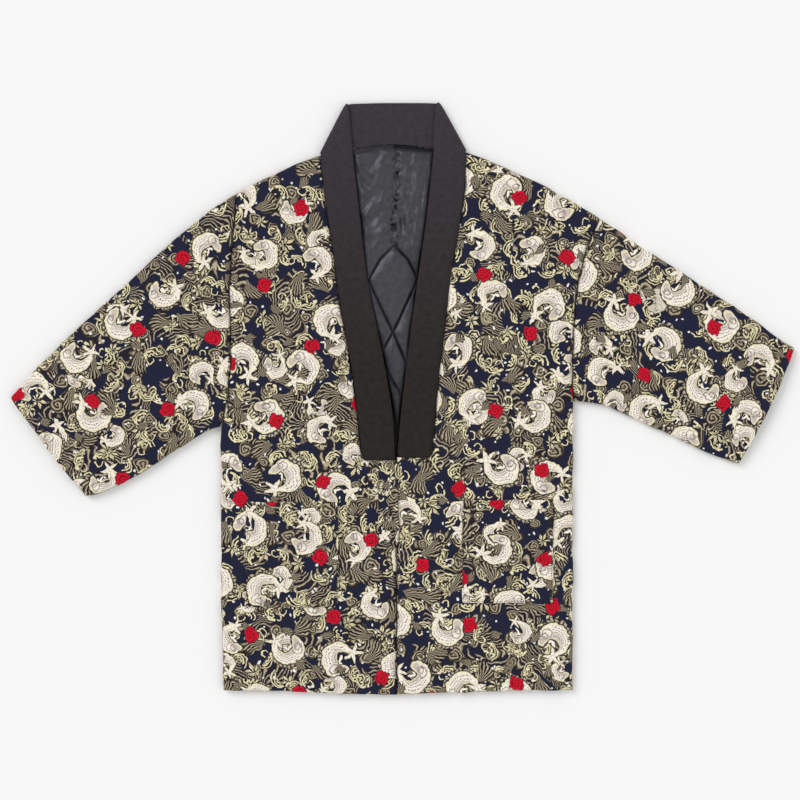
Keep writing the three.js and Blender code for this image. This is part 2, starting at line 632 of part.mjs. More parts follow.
const garment = new THREE.Group();
const fronts = { left: frontGrid(LEFT), right: frontGrid(RIGHT) };
const pieces = [
  { name: "back", geometry: backWall(), finish: PRINT },
  { name: "lining_back", geometry: liningWall(), finish: BLACK_LINING },
  { name: "front_left", geometry: frontWall(fronts.left), finish: PRINT },
  { name: "front_right", geometry: frontWall(fronts.right), finish: PRINT },
  { name: "sleeve_left", geometry: sleeveTube(LEFT, LEFT_SLEEVE), finish: PRINT },
  { name: "sleeve_right", geometry: sleeveTube(RIGHT, RIGHT_SLEEVE), finish: PRINT },
  { name: "collar", geometry: collarWall(), finish: BLACK_CLOTH },
  { name: "pocket_left", geometry: pocketWall(fronts.left), finish: PRINT },
  { name: "pocket_right", geometry: pocketWall(fronts.right), finish: PRINT },
  ...TIES.map((tie) => ({ name: tie.name, geometry: tieWall(tie), finish: PRINT })),
];
for (const { name, geometry, finish } of pieces) {
  const mesh = new THREE.Mesh(geometry, new THREE.MeshStandardMaterial(finish));
  mesh.name = name;
  garment.add(mesh);
}

export default garment;
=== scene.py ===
# %% [markdown]
# # A padded hanten, laid flat
#
# A hanten is a short padded Japanese jacket. This one is laid flat on its back, front
# up, with both sleeves spread, and the camera looks straight down on it. The CAD model
# gives the size and the place of each sewn piece. Blender adds what makes it cloth: soft
# padding, creases, the printed cotton, a quilted satin lining and the stitching.

import math

import bmesh
import bpy
import numpy as np
from mathutils import Matrix, Vector, noise
from mathutils.bvhtree import BVHTree


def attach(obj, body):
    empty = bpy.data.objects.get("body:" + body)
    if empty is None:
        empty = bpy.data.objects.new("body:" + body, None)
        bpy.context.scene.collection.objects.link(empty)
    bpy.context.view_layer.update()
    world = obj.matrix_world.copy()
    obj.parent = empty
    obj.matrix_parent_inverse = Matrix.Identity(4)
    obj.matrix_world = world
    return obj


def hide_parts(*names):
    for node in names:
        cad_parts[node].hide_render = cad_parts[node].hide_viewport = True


MM = 0.001
PER_METRE = 1000
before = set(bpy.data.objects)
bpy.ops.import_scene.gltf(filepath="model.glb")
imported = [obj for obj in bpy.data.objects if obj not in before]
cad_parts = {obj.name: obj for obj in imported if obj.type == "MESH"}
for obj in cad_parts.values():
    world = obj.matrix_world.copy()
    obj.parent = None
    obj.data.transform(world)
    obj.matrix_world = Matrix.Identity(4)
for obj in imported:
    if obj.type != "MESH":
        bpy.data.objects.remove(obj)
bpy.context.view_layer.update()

# %% [markdown]
# ## Camera, floor and light
#
# The jacket fills the photo's width, and none of its edges lean towards or away from
# the lens, so the camera is far away with a long lens. The floor is pale and plain. A
# bright sky gives the even light of a catalogue photo, and one wide sun from the upper
# left draws the puffs and the creases. The colours go to the screen as they are.

# %% Camera straight above
FRAME_WIDTH = 1.160  # metres of floor that the picture takes in
LENS, SENSOR = 85.0, 36.0
PHOTO_CENTRE = (-0.0036, -0.0022)  # the point of the jacket's plan in the picture's middle
CLOTH_TOP = 0.012  # height of the cloth that the frame is measured at

camera_data = bpy.data.cameras.new("camera")
camera_data.lens, camera_data.sensor_width = LENS, SENSOR
camera = bpy.data.objects.new("camera", camera_data)
camera.location = (*PHOTO_CENTRE, FRAME_WIDTH * LENS / SENSOR + CLOTH_TOP)
bpy.context.collection.objects.link(camera)
bpy.context.scene.camera = camera
print("camera height in metres:", round(camera.location.z, 2))


# %% Lamps and sky
def soft_sun(name, place, strength, spread):
    """A wide sun that shines from a place towards the middle, the same all over."""
    data = bpy.data.lights.new(name, "SUN")
    data.energy, data.angle = strength, math.radians(spread)
    lamp = bpy.data.objects.new(name, data)
    lamp.location = place
    lamp.rotation_mode = "QUATERNION"
    lamp.rotation_quaternion = (-Vector(place)).to_track_quat("-Z", "Y")
    bpy.context.collection.objects.link(lamp)
    return lamp


lamps = [
    soft_sun("key_sun", (-1.0, 0.9, 1.05), strength=1.25, spread=34),
    soft_sun("side_sun", (1.0, -0.35, 0.8), strength=0.35, spread=50),
]
world = bpy.data.worlds.new("studio")
world.use_nodes = True
sky = world.node_tree.nodes["Background"]
sky.inputs["Color"].default_value = (1, 1, 1, 1)
sky.inputs["Strength"].default_value = 0.695
bpy.context.scene.view_settings.view_transform = "Standard"
bpy.context.scene.world = world
print("lamps:", [lamp.name for lamp in lamps])

# %% [markdown]
# ## The floor
#
# A wide pale sheet under the jacket, plain and matt. It is large, so that its edge stays
# out of sight from low angles, and it lies a hair below the cloth.

# %% Floor
FLOOR_SIZE = 40.0
FLOOR_LEVEL = -0.0004


def object_from(name, bm):
    """A smooth-shaded object at the origin that holds a bmesh's shape."""
    mesh = bpy.data.meshes.new(name)
    bm.to_mesh(mesh)
    bm.free()
    for face in mesh.polygons:
        face.use_smooth = True
    made = bpy.data.objects.new(name, mesh)
    bpy.context.collection.objects.link(made)
    return made


def new_material(name):
    """A new material, with its node tree and its Principled shader."""
    material = bpy.data.materials.new(name)
    material.use_nodes = True
    return material, material.node_tree, material.node_tree.nodes["Principled BSDF"]


floor_bm = bmesh.new()
bmesh.ops.create_grid(floor_bm, x_segments=1, y_segments=1, size=FLOOR_SIZE)
bmesh.ops.translate(floor_bm, vec=(0, 0, FLOOR_LEVEL), verts=floor_bm.verts)
floor = object_from("floor", floor_bm)
paper, _, paper_shader = new_material("pale_floor")
paper_shader.inputs["Base Color"].default_value = (0.93, 0.93, 0.93, 1)
paper_shader.inputs["Roughness"].default_value = 0.9
floor.data.materials.append(paper)
print("floor:", floor.name)

# %% [markdown]
# ## Writing shader sums as Python
#
# The print is worked out by sums on the cloth's own coordinates. A small class lets
# each sum be written as plain Python, and every operator adds one Math node to the tree.


# %% A field: a shader value with operators
def by_maths(operation):
    """A method that adds one Math node with this operation."""
    def method(self, *others):
        return self.maths(operation, *others)
    return method


class Field:
    """A value that changes over the surface, held by a node's output."""

    def __init__(self, tree, socket):
        self.tree, self.socket = tree, socket

    def maths(self, operation, *others, clamp=False):
        node = self.tree.nodes.new("ShaderNodeMath")
        node.operation, node.use_clamp = operation, clamp
        for slot, value in zip(node.inputs, (self, *others)):
            if isinstance(value, Field):
                self.tree.links.new(value.socket, slot)
            else:
                slot.default_value = value
        return Field(self.tree, node.outputs[0])

    __add__ = __radd__ = by_maths("ADD")
    __sub__ = by_maths("SUBTRACT")
    __mul__ = __rmul__ = by_maths("MULTIPLY")
    __truediv__ = by_maths("DIVIDE")
    sin, cos = by_maths("SINE"), by_maths("COSINE")
    abs, floor, part = by_maths("ABSOLUTE"), by_maths("FLOOR"), by_maths("FRACT")
    power = by_maths("POWER")
    least, most = by_maths("MINIMUM"), by_maths("MAXIMUM")

    def __rsub__(self, other):
        return self * -1.0 + other

    def over(self, edge, soft):
        """1 where the value is above an edge, 0 below it, with a soft step between."""
        return self.maths("MULTIPLY_ADD", 1 / soft, 0.5 - edge / soft, clamp=True)

    def under(self, edge, soft):
        """1 where the value is below an edge, 0 above it."""
        return self.maths("MULTIPLY_ADD", -1 / soft, 0.5 + edge / soft, clamp=True)


def length(x, y):
    """Distance of a point from the middle."""
    return (x * x + y * y).power(0.5)


def bearing(x, y):
    """Direction of a point, in radians."""
    return y.maths("ARCTAN2", x)


def linear(red, green, blue):
    """A colour read on the screen, 0 to 255, as the linear light that shaders use."""
    def one(v):
        v /= 255
        return v / 12.92 if v <= 0.04045 else ((v + 0.055) / 1.055) ** 2.4
    return (one(red), one(green), one(blue), 1.0)


print("a mid grey is", round(linear(128, 128, 128)[0], 3), "in linear light")


# %% Colours and noise in a tree
def layered(tree, below, above, mask):
    """One colour laid over another where the mask is 1."""
    node = tree.nodes.new("ShaderNodeMix")
    node.data_type = "RGBA"
    for slot, value in zip((node.inputs[6], node.inputs[7]), (below, above)):
        if isinstance(value, tuple):
            slot.default_value = value
        else:
            tree.links.new(value, slot)
    if isinstance(mask, Field):
        tree.links.new(mask.socket, node.inputs[0])
    else:
        node.inputs[0].default_value = mask
    return node.outputs[2]


def point(tree, x, y, z=0.0):
    """Three fields or numbers as a vector."""
    node = tree.nodes.new("ShaderNodeCombineXYZ")
    for slot, value in zip(node.inputs, (x, y, z)):
        if isinstance(value, Field):
            tree.links.new(value.socket, slot)
        else:
            slot.default_value = value
    return node.outputs[0]


def cloudy(tree, x, y, size, seed=0.0, detail=0.0):
    """Soft noise from 0 to 1, its blotches about one size across."""
    node = tree.nodes.new("ShaderNodeTexNoise")
    node.inputs["Scale"].default_value = 1.0
    node.inputs["Detail"].default_value = detail
    tree.links.new(point(tree, x / size, y / size, seed), node.inputs["Vector"])
    return Field(tree, node.outputs[0])


def chances(tree, x, y, seed):
    """Three random numbers for each whole x and y."""
    node = tree.nodes.new("ShaderNodeTexWhiteNoise")
    node.noise_dimensions = "3D"
    tree.links.new(point(tree, x, y, seed), node.inputs["Vector"])
    split = tree.nodes.new("ShaderNodeSeparateColor")
    tree.links.new(node.outputs["Color"], split.inputs[0])
    return [Field(tree, out) for out in split.outputs]


def scattered(tree, x, y, size, turn, seed):
    """Splits the cloth into brick-laid squares. Gives the place in the square from its
    middle, turned by chance, and two more chances for what the square holds."""
    cosine, sine = math.cos(turn), math.sin(turn)
    across = (x * cosine - y * sine) / size + seed
    up = (x * sine + y * cosine) / size + seed * 0.37
    row = up.floor()
    shifted = across + row * 0.5
    column = shifted.floor()
    spin, first, second = chances(tree, column, row, seed)
    u, v = (shifted - column - 0.5) * size, (up - row - 0.5) * size
    angle = spin * math.tau
    cosine, sine = angle.cos(), angle.sin()
    return u * cosine - v * sine, u * sine + v * cosine, first, second


def group_tree(name, inputs, outputs):
    """A shader node group with named sockets."""
    tree = bpy.data.node_groups.new(name, "ShaderNodeTree")
    for label, kind in inputs:
        tree.interface.new_socket(name=label, in_out="INPUT", socket_type=kind)
    for label, kind in outputs:
        tree.interface.new_socket(name=label, in_out="OUTPUT", socket_type=kind)
    enter = tree.nodes.new("NodeGroupInput")
    leave = tree.nodes.new("NodeGroupOutput")
    return tree, enter, leave


print("helpers for colours, noise, chance and node groups are ready")

# %% [markdown]
# ## The print
#
# The cotton is printed all over, on navy, with plump curled carp, striped fins, khaki
# streams of water, foam heads and curls, leaf sprays, red rosettes and white drops. Each
# motif is a shape worked out from the distance and the bearing from its own middle. Each
# kind is scattered over its own brick-laid grid of squares and turned by chance. An image
# could hold the print too, but sums stay sharp at any distance. All sizes are millimetres.

# %% Colours of the print
NAVY = linear(25, 28, 53)
CREAM = linear(253, 244, 229)
PALE_GOLD = linear(239, 228, 184)
SAND = linear(190, 178, 152)
KHAKI = linear(124, 111, 92)
DEEP_KHAKI = linear(30, 23, 22)
MAUVE = linear(170, 152, 148)
DARK_MAUVE = linear(92, 77, 78)
RED = linear(208, 4, 38)
DEEP_RED = linear(118, 2, 24)
WHITE = linear(244, 242, 236)
SOFT = 0.7  # how softly the ink ends, in millimetres
ANY = 0.01  # a step so sharp that a motif is either there or not
print("navy as linear light:", [round(share, 3) for share in NAVY[:3]])


# %% Streams and foam heads
STRAND = [
    # ink, half its width as a share of the strands' spacing, soft edge, strength
    (DEEP_KHAKI, 0.40, 0.10, 0.9),
    (KHAKI, 0.19, 0.08, 1.0),
    (SAND, 0.10, 0.08, 0.9),
]


def paint_streams(tree, x, y, ink):
    """Flowing water: contour lines of a soft slope, shown only in drifts."""
    drift = cloudy(tree, x, y, 42, seed=3.1).over(0.515, 0.02)
    height = cloudy(tree, x, y, 60, seed=7.7, detail=0.5) * 27
    strand = ((height + x / 17 + y / 26).part() - 0.5).abs()
    for colour, half, soft, strength in STRAND:
        ink = layered(tree, ink, colour, drift * strand.under(half, soft) * strength)
    return ink


HEAD_RADIUS, SPIRAL_PITCH = 9.5, 4.6


def paint_foam_heads(tree, x, y, ink):
    """Khaki foam heads, each one a dark spiral on a patch with three lobes."""
    u, v, shown, grow = scattered(tree, x, y, size=30, turn=0.5, seed=2.3)
    reach = length(u, v) / (grow * 0.4 + 0.75) + (bearing(u, v) * 3).sin() * 0.7
    present = shown.over(0.40, ANY)
    spiral = (reach / SPIRAL_PITCH + bearing(u, v) / math.tau).part()
    disc = reach.under(HEAD_RADIUS, SOFT) * present
    ink = layered(tree, ink, DEEP_KHAKI, reach.under(HEAD_RADIUS + 1.5, SOFT) * present)
    ink = layered(tree, ink, KHAKI, disc)
    ink = layered(tree, ink, DEEP_KHAKI, disc * spiral.under(0.34, 0.12))
    return layered(tree, ink, SAND, disc * (spiral - 0.62).abs().under(0.12, 0.12))


# %% Foam curls, leaf sprays and striped fins
BLOCK = 9  # added to the distance from a line where the line stops
LOOP, LOOP_PITCH = 2.5, 6.6
INNER_ARC, OUTER_ARC, HOOK = 9.6, 13.0, 5.0  # radii


def paint_curls(tree, x, y, ink, size, turn, seed, share):
    """Foam curls: two long arcs over a row of loops, and a hook, pale gold on a dark edge."""
    u, v, shown, _ = scattered(tree, x, y, size, turn, seed)
    present = shown.over(share, ANY)
    beside = ((u / LOOP_PITCH + 0.5).part() - 0.5) * LOOP_PITCH
    loops = (length(beside, v) - LOOP).abs()
    loops = loops + u.abs().over(9.7, 0.2) * BLOCK + v.under(-1.2, 0.4) * BLOCK
    arcs = (length(u, v + 4) - INNER_ARC).abs()
    arcs = arcs.least((length(u - 2, v + 4) - OUTER_ARC).abs())
    arcs = arcs + v.under(-2.4, 0.4) * BLOCK
    hook = (length(u + 5, v + 7) - HOOK).abs() + v.over(-5.2, 0.4) * BLOCK
    line = loops.least(arcs).least(hook)
    ink = layered(tree, ink, DEEP_KHAKI, line.under(1.6, SOFT) * present)
    return layered(tree, ink, PALE_GOLD, line.under(0.75, SOFT) * present)


LEAVES = 7


def paint_sprays(tree, x, y, ink, size, turn, seed, radius, share):
    """Leaf sprays: seven pointed leaves of uneven length round a dark heart."""
    u, v, shown, _ = scattered(tree, x, y, size, turn, seed)
    present = shown.over(share, ANY)
    reach = length(u, v) / ((bearing(u, v)).cos() * 0.28 + 0.8) / radius
    leaf = ((bearing(u, v) * (LEAVES / math.tau)).part() - 0.5).abs()
    blade = (1.0 - reach) * 0.55 + reach.under(0.34, 0.3) * -0.3
    inside = (blade - leaf).over(0.0, 0.07) * reach.over(0.14, 0.05) * present
    edge = (blade + 0.16 - leaf).over(0.0, 0.07) * reach.under(1.05, 0.05)
    ink = layered(tree, ink, DEEP_KHAKI, edge * present)
    ink = layered(tree, ink, PALE_GOLD, inside)
    return layered(tree, ink, KHAKI, inside * leaf.under(0.05, 0.04) * 0.8)


FIN_CURVE = 0.011  # how fast a fin's rays bend to one side
FIN_SPREAD = 0.58  # half the angle that a fin fills, in radians
FIN_STRIPES = 5.2  # stripes in each radian


def paint_fins(tree, x, y, ink, size, turn, seed, reach, share):
    """Striped fins: curved rays that spread from one point to a ragged tip."""
    u, v, shown, _ = scattered(tree, x, y, size, turn, seed)
    present = shown.over(share, ANY)
    out = u + reach / 2
    side = v - out * out * FIN_CURVE
    ray = bearing(out, side)
    tip = (ray * 30).sin() * 1.6 + reach - ray.abs() * 12
    inside = tip - length(out, side)
    spread = ray.abs().under(FIN_SPREAD, 0.04) * present
    stripes = (ray * FIN_STRIPES).part()
    ink = layered(tree, ink, DEEP_KHAKI, inside.over(-1.5, SOFT) * spread)
    fin = inside.over(0.0, SOFT) * spread
    ink = layered(tree, ink, KHAKI, fin * stripes.over(0.50, 0.12))
    return layered(tree, ink, SAND, fin * stripes.over(0.74, 0.12))


print("painters of water, leaves and fins are ready")


# %% The parts of a carp
HEAD_AT = 1.9  # bearing of the head on the body's arc, in radians
EDGE = 0.03  # how softly a carp's parts end, the carp's size taken as 1
SCALE_ROW, SCALE_PITCH = 0.115, 0.20  # across the body, and along it in radians


def star(x, y, points, inner, outer):
    """How far a place lies inside a star with sharp points."""
    spoke = ((bearing(x, y) * (points / math.tau)).part() - 0.5).abs() * 2
    return spoke.power(1.7) * (outer - inner) + inner - length(x, y)


def carp_parts(u, v, bend):
    """A carp curled into a C, its size taken as 1: ways to measure along it and across it,
    and its parts, each one a field that is above 0 inside the part."""
    middle = bend * 0.12 + 0.50
    tail_at = bend * 1.2 - 1.95
    ring, angle = length(u, v), bearing(u, v)
    along = (angle - tail_at) / (HEAD_AT - tail_at)
    girth = (along * (math.pi * 0.74)).sin() * 0.25 + 0.05
    beyond = along.under(0.0, 0.02) * 2 + along.over(1.0, 0.02) * 2
    head_u, head_v = u - middle * math.cos(HEAD_AT), v - middle * math.sin(HEAD_AT)
    nose = head_u * -math.sin(HEAD_AT) + head_v * math.cos(HEAD_AT)
    brow = head_u * math.cos(HEAD_AT) + head_v * math.sin(HEAD_AT)
    tail_u, tail_v = u - middle * tail_at.cos() + 0.14, v - middle * tail_at.sin() + 0.04
    return {
        "ring": ring, "middle": middle, "angle": angle, "along": along, "girth": girth,
        "nose": nose, "brow": brow, "from_head": length(head_u, head_v),
        "flank": girth - (ring - middle).abs() - beyond,
        "skull": 0.25 - length(nose * 0.62 - 0.03, brow + nose.most(0.0) * 0.5),
        "tail": star(tail_u, tail_v, 5, 0.12, 0.45),
        "side_fin": star(u - 0.05, v - 0.16, 4, 0.05, 0.34),
    }


print("a carp's head lies at", round(math.degrees(HEAD_AT)), "degrees on its curl")


# %% Painting a carp
def paint_back_fin(tree, ink, carp, present):
    """A spiky fin along the back, sand on dark, with dark rays."""
    along, back = carp["along"], carp["ring"] - carp["middle"] - carp["girth"]
    outside = back.over(-0.03, 0.02)
    spikes = (carp["angle"] * 8).sin().abs() * 0.09 + 0.09
    fin = outside * (spikes - back).over(0.0, EDGE)
    fin = fin * along.over(0.3, 0.02) * along.under(0.86, 0.02) * present
    rim = outside * (spikes - back + 0.05).over(0.0, EDGE)
    rim = rim * along.over(0.28, 0.02) * along.under(0.88, 0.02) * present
    ink = layered(tree, ink, DEEP_KHAKI, rim)
    ink = layered(tree, ink, SAND, fin)
    return layered(tree, ink, DEEP_KHAKI, fin * (carp["angle"] * 5.1).part().under(0.34, 0.15))


def paint_skin(tree, ink, carp, present):
    """A shaded belly, and dashes in rows for the scales."""
    ring, middle, along, flank = (carp[part] for part in ("ring", "middle", "along", "flank"))
    belly = (middle - ring).over(0.10, 0.16) * flank.over(0.0, EDGE)
    ink = layered(tree, ink, MAUVE, belly * present * 0.45)
    row = (ring - middle) / SCALE_ROW
    dash = (carp["angle"] / SCALE_PITCH + row.floor() * 0.5).part()
    scales = row.part().under(0.34, 0.2) * dash.under(0.66, 0.15) * flank.over(0.05, EDGE)
    scales = scales * along.over(0.18, 0.05) * along.under(0.80, 0.04)
    return layered(tree, ink, DARK_MAUVE, scales * present * 0.8)


def paint_face(tree, ink, carp, present):
    """Two gill plates, a cheek and an eye."""
    nose, brow, skull = carp["nose"], carp["brow"], carp["skull"]
    front = skull.most(carp["flank"]).over(0.04, EDGE)
    for shift, radius in ((-0.10, 0.20), (0.04, 0.13)):
        plate = (length(nose - shift, brow + 0.04) - radius).abs().under(0.020, EDGE)
        ink = layered(tree, ink, DARK_MAUVE, plate * front * present * 0.8)
    cheek = skull.over(0.03, EDGE) * nose.over(-0.02, EDGE) * (brow + 0.02).under(0.0, 0.08)
    ink = layered(tree, ink, MAUVE, cheek * present * 0.6)
    from_eye = length(nose - 0.12, brow - 0.06)
    ink = layered(tree, ink, DARK_MAUVE, from_eye.under(0.060, EDGE) * present)
    return layered(tree, ink, WHITE, from_eye.under(0.026, 0.02) * present)


STRAY = 12  # the span over which chance moves a carp within its square


def paint_carp(tree, x, y, ink, size, turn, seed, reach, share):
    """Carp, each one moved, sized, mirrored and curled more or less by chance."""
    u, v, shown, bend = scattered(tree, x, y, size, turn, seed)
    present = shown.over(share, ANY)
    full_size = bend * (-0.25 * reach) + 1.1 * reach
    u = (u + (shown - 0.5) * STRAY) / full_size
    v = (v + (bend - 0.5) * STRAY) / full_size * (shown.over(0.52, ANY) * 2 - 1)
    carp = carp_parts(u, v, bend)
    fish = carp["flank"].most(carp["skull"]).most(carp["tail"])

    ink = paint_back_fin(tree, ink, carp, present)
    ink = layered(tree, ink, DEEP_KHAKI, carp["side_fin"].over(-0.05, EDGE) * present)
    ink = layered(tree, ink, CREAM, carp["side_fin"].over(0.0, EDGE) * present)
    for colour, rim in ((NAVY, -0.075), (PALE_GOLD, -0.02), (CREAM, 0.03)):
        ink = layered(tree, ink, colour, fish.over(rim, EDGE) * present)
    ink = paint_skin(tree, ink, carp, present)
    ink = paint_face(tree, ink, carp, present)
    grain = ((cloudy(tree, u, v, 0.24, seed=seed) * 6).part() - 0.5).abs().under(0.09, 0.10)
    ink = layered(tree, ink, DARK_MAUVE, grain * fish.over(0.03, EDGE) * present * 0.42)
    web = (carp["from_head"] * 7).part().under(0.25, 0.2) * carp["tail"].over(0.05, EDGE)
    return layered(tree, ink, MAUVE, web * present * 0.6)


print("carp are painted from the back fin up to the web of the tail")


# %% Rosettes and drops
ROSETTE_RADIUS, DROP_RADIUS = 9.3, 1.5
SQUARENESS = 3.6  # 2 would be a circle, and a large number a square


def paint_rosettes(tree, x, y, ink):
    """Red rosettes, nearly square, with darker curled streaks."""
    u, v, shown, _ = scattered(tree, x, y, size=110, turn=0.9, seed=8.4)
    square = (u.abs().power(SQUARENESS) + v.abs().power(SQUARENESS)).power(1 / SQUARENESS)
    square = square + (bearing(u, v) * 8).sin() * 0.7
    present = shown.over(0.06, ANY)
    streak = (length(u, v) / 4.4 + bearing(u, v) / math.tau * 2).part()
    ink = layered(tree, ink, NAVY, square.under(ROSETTE_RADIUS + 1.0, SOFT) * present)
    ink = layered(tree, ink, RED, square.under(ROSETTE_RADIUS, SOFT) * present)
    streak = square.under(ROSETTE_RADIUS - 1.2, SOFT) * streak.under(0.34, 0.2) * present
    return layered(tree, ink, DEEP_RED, streak)


def paint_drops(tree, x, y, ink):
    """Small white drops."""
    for size, turn, seed in ((23, 0.2, 1.7), (31, 0.8, 6.1)):
        u, v, shown, _ = scattered(tree, x, y, size, turn, seed)
        drop = length(u - size * 0.22, v).under(DROP_RADIUS, SOFT)
        ink = layered(tree, ink, WHITE, drop * shown.over(0.3, ANY))
    return ink


print("painters of rosettes and drops are ready")


# %% The print as one node group
WAVERS = [
    # how a hand-drawn line strays: length of a wave, its width, seeds for x and y
    (17, 7, 11, 23),
    (5, 3.2, 31, 43),
]


def make_print():
    """The whole print. What is painted later covers what is painted before."""
    tree, enter, leave = group_tree(
        "carp_print", [("Cloth", "NodeSocketVector")], [("Color", "NodeSocketColor")])
    split = tree.nodes.new("ShaderNodeSeparateXYZ")
    tree.links.new(enter.outputs[0], split.inputs[0])
    plain_x, plain_y = (Field(tree, out) * PER_METRE for out in split.outputs[:2])
    x, y = plain_x, plain_y
    for size, width, seed_x, seed_y in WAVERS:
        x = x + (cloudy(tree, plain_x, plain_y, size, seed=seed_x) - 0.5) * width
        y = y + (cloudy(tree, plain_x, plain_y, size, seed=seed_y) - 0.5) * width
    ink = paint_streams(tree, x, y, NAVY)
    ink = paint_foam_heads(tree, x, y, ink)
    ink = paint_curls(tree, x, y, ink, size=36, turn=1.1, seed=5.2, share=0.3)
    ink = paint_drops(tree, x, y, ink)
    ink = paint_sprays(tree, x, y, ink, size=55, turn=0.3, seed=4.9, radius=14, share=0.35)
    ink = paint_curls(tree, x, y, ink, size=52, turn=0.4, seed=12.6, share=0.4)
    ink = paint_sprays(tree, x, y, ink, size=67, turn=1.3, seed=9.5, radius=12, share=0.4)
    ink = paint_fins(tree, x, y, ink, size=62, turn=0.9, seed=7.1, reach=33, share=0.35)
    ink = paint_carp(tree, x, y, ink, size=88, turn=0.8, seed=5.9, reach=23, share=0.42)
    ink = paint_fins(tree, x, y, ink, size=76, turn=0.35, seed=2.9, reach=33, share=0.5)
    ink = paint_carp(tree, x, y, ink, size=80, turn=0.15, seed=3.3, reach=32, share=0.12)
    ink = paint_fins(tree, x, y, ink, size=52, turn=1.2, seed=12.1, reach=19, share=0.4)
    ink = paint_rosettes(tree, x, y, ink)
    tree.links.new(ink, leave.inputs[0])
    return tree


CARP_PRINT = make_print()
print("the print has", len(CARP_PRINT.nodes), "nodes")

# %% [markdown]
# ## Cloth finishes
#
# All three cloths share one weave: fine crossed threads that show only close up, as a
# bump, with a little unevenness in the roughness. Modelled threads would need millions
# of faces, so sums make them. The black cotton of the collar is matt and slightly
# slubbed, and the satin of the lining has a soft shine.


# %% The weave as a shared node group
def make_weave():
    """Crossed threads as a height, and an uneven shade that follows the slubs."""
    tree, enter, leave = group_tree(
        "weave",
        [("Cloth", "NodeSocketVector"), ("Threads per mm", "NodeSocketFloat"),
         ("Slub", "NodeSocketFloat")],
        [("Height", "NodeSocketFloat"), ("Shade", "NodeSocketFloat")])
    split = tree.nodes.new("ShaderNodeSeparateXYZ")
    tree.links.new(enter.outputs[0], split.inputs[0])
    x, y = (Field(tree, out) * PER_METRE for out in split.outputs[:2])
    pitch, slub = Field(tree, enter.outputs[1]), Field(tree, enter.outputs[2])
    warp = (x * pitch * math.pi).sin() * (y * pitch * math.pi * 0.5).cos()
    weft = (y * pitch * math.pi).sin() * (x * pitch * math.pi * 0.5).cos()
    lumps = cloudy(tree, x * 0.35, y, 1.6, seed=2, detail=2) * slub
    height = warp.most(weft) * 0.5 + lumps
    shade = cloudy(tree, x, y, 8, seed=5, detail=5) * 0.7 + lumps * 0.3
    tree.links.new(height.socket, leave.inputs[0])
    tree.links.new(shade.socket, leave.inputs[1])
    return tree


WEAVE = make_weave()
print("the weave has", len(WEAVE.nodes), "nodes")


# %% Cloth materials
LINT = linear(96, 88, 82)  # a dusty tone that takes the print's hardness away
# painted light: the cloth's tint turns lighter and cooler higher up, standing in for the light that
# falls there
PAINTED_LIGHT_MIDDLE, PAINTED_LIGHT_LENGTH = 0.24, 0.42  # metres up the jacket, for the turn to the upper tint
THREAD_DEPTH = 0.0002


def cloth_material(name, roughness, sheen, threads, slub, bump, specular,
                   base=None, tints=None, upper=None, painted_shade_colour=None, silk=0.0):
    """A cloth: printed if no base colour is given, woven, with a soft sheen. It may turn
    to a lighter tint towards its upper end, which is painted light, and it may darken by
    painted shade where its shade attribute says so. Silk mirrors light in its own colour,
    so it takes a share of metallic gloss."""
    material, tree, shader = new_material(name)
    shader.inputs["Sheen Weight"].default_value = sheen
    shader.inputs["Sheen Roughness"].default_value = 0.5
    shader.inputs["Specular IOR Level"].default_value = specular
    shader.inputs["Metallic"].default_value = silk
    cloth = tree.nodes.new("ShaderNodeUVMap")
    cloth.uv_map = "cloth"
    weave = tree.nodes.new("ShaderNodeGroup")
    weave.node_tree = WEAVE
    weave.inputs["Threads per mm"].default_value = threads
    weave.inputs["Slub"].default_value = slub
    tree.links.new(cloth.outputs[0], weave.inputs[0])
    shade = Field(tree, weave.outputs["Shade"])
    if base is None:
        ink = tree.nodes.new("ShaderNodeGroup")
        ink.node_tree = CARP_PRINT
        tree.links.new(cloth.outputs[0], ink.inputs[0])
        colour = layered(tree, ink.outputs[0], LINT, shade * 0.06)
    else:
        colour = layered(tree, base, tints, shade.over(0.45, 0.5))
    # painted light: a lighter tint laid on towards the upper end
    if upper is not None:
        split = tree.nodes.new("ShaderNodeSeparateXYZ")
        tree.links.new(cloth.outputs[0], split.inputs[0])
        painted_light_up = Field(tree, split.outputs[1]).over(PAINTED_LIGHT_MIDDLE, PAINTED_LIGHT_LENGTH)
        colour = layered(tree, colour, upper, painted_light_up * (shade * 1.3 + 0.2))
    # painted shade: the colour turns darker where the mesh's shade attribute is high, at seams, in
    # quilting valleys and in the collar's shadow
    if painted_shade_colour is not None:
        painted_shade = tree.nodes.new("ShaderNodeAttribute")
        painted_shade.attribute_name = "painted_shade"
        colour = layered(tree, colour, painted_shade_colour, Field(tree, painted_shade.outputs["Fac"]))
    tree.links.new(colour, shader.inputs["Base Color"])
    uneven = shade * 0.14 + (roughness - 0.07)
    tree.links.new(uneven.socket, shader.inputs["Roughness"])
    dent = tree.nodes.new("ShaderNodeBump")
    dent.inputs["Strength"].default_value = bump
    dent.inputs["Distance"].default_value = THREAD_DEPTH
    tree.links.new(weave.outputs["Height"], dent.inputs["Height"])
    tree.links.new(dent.outputs[0], shader.inputs["Normal"])
    return material


# the printed cotton is darkened by painted shade along its seams
PRINTED = cloth_material(
    "printed_cotton", roughness=0.84, sheen=0.03, threads=1.6, slub=0.35, bump=0.35,
    specular=0.15, painted_shade_colour=linear(9, 9, 14))
# the black cotton's upper tint is painted light
BLACK = cloth_material(
    "black_cotton", roughness=0.88, sheen=0.05, threads=1.3, slub=0.7, bump=0.5,
    specular=0.15, base=linear(27, 24, 22), tints=linear(49, 44, 40), upper=linear(64, 58, 66))
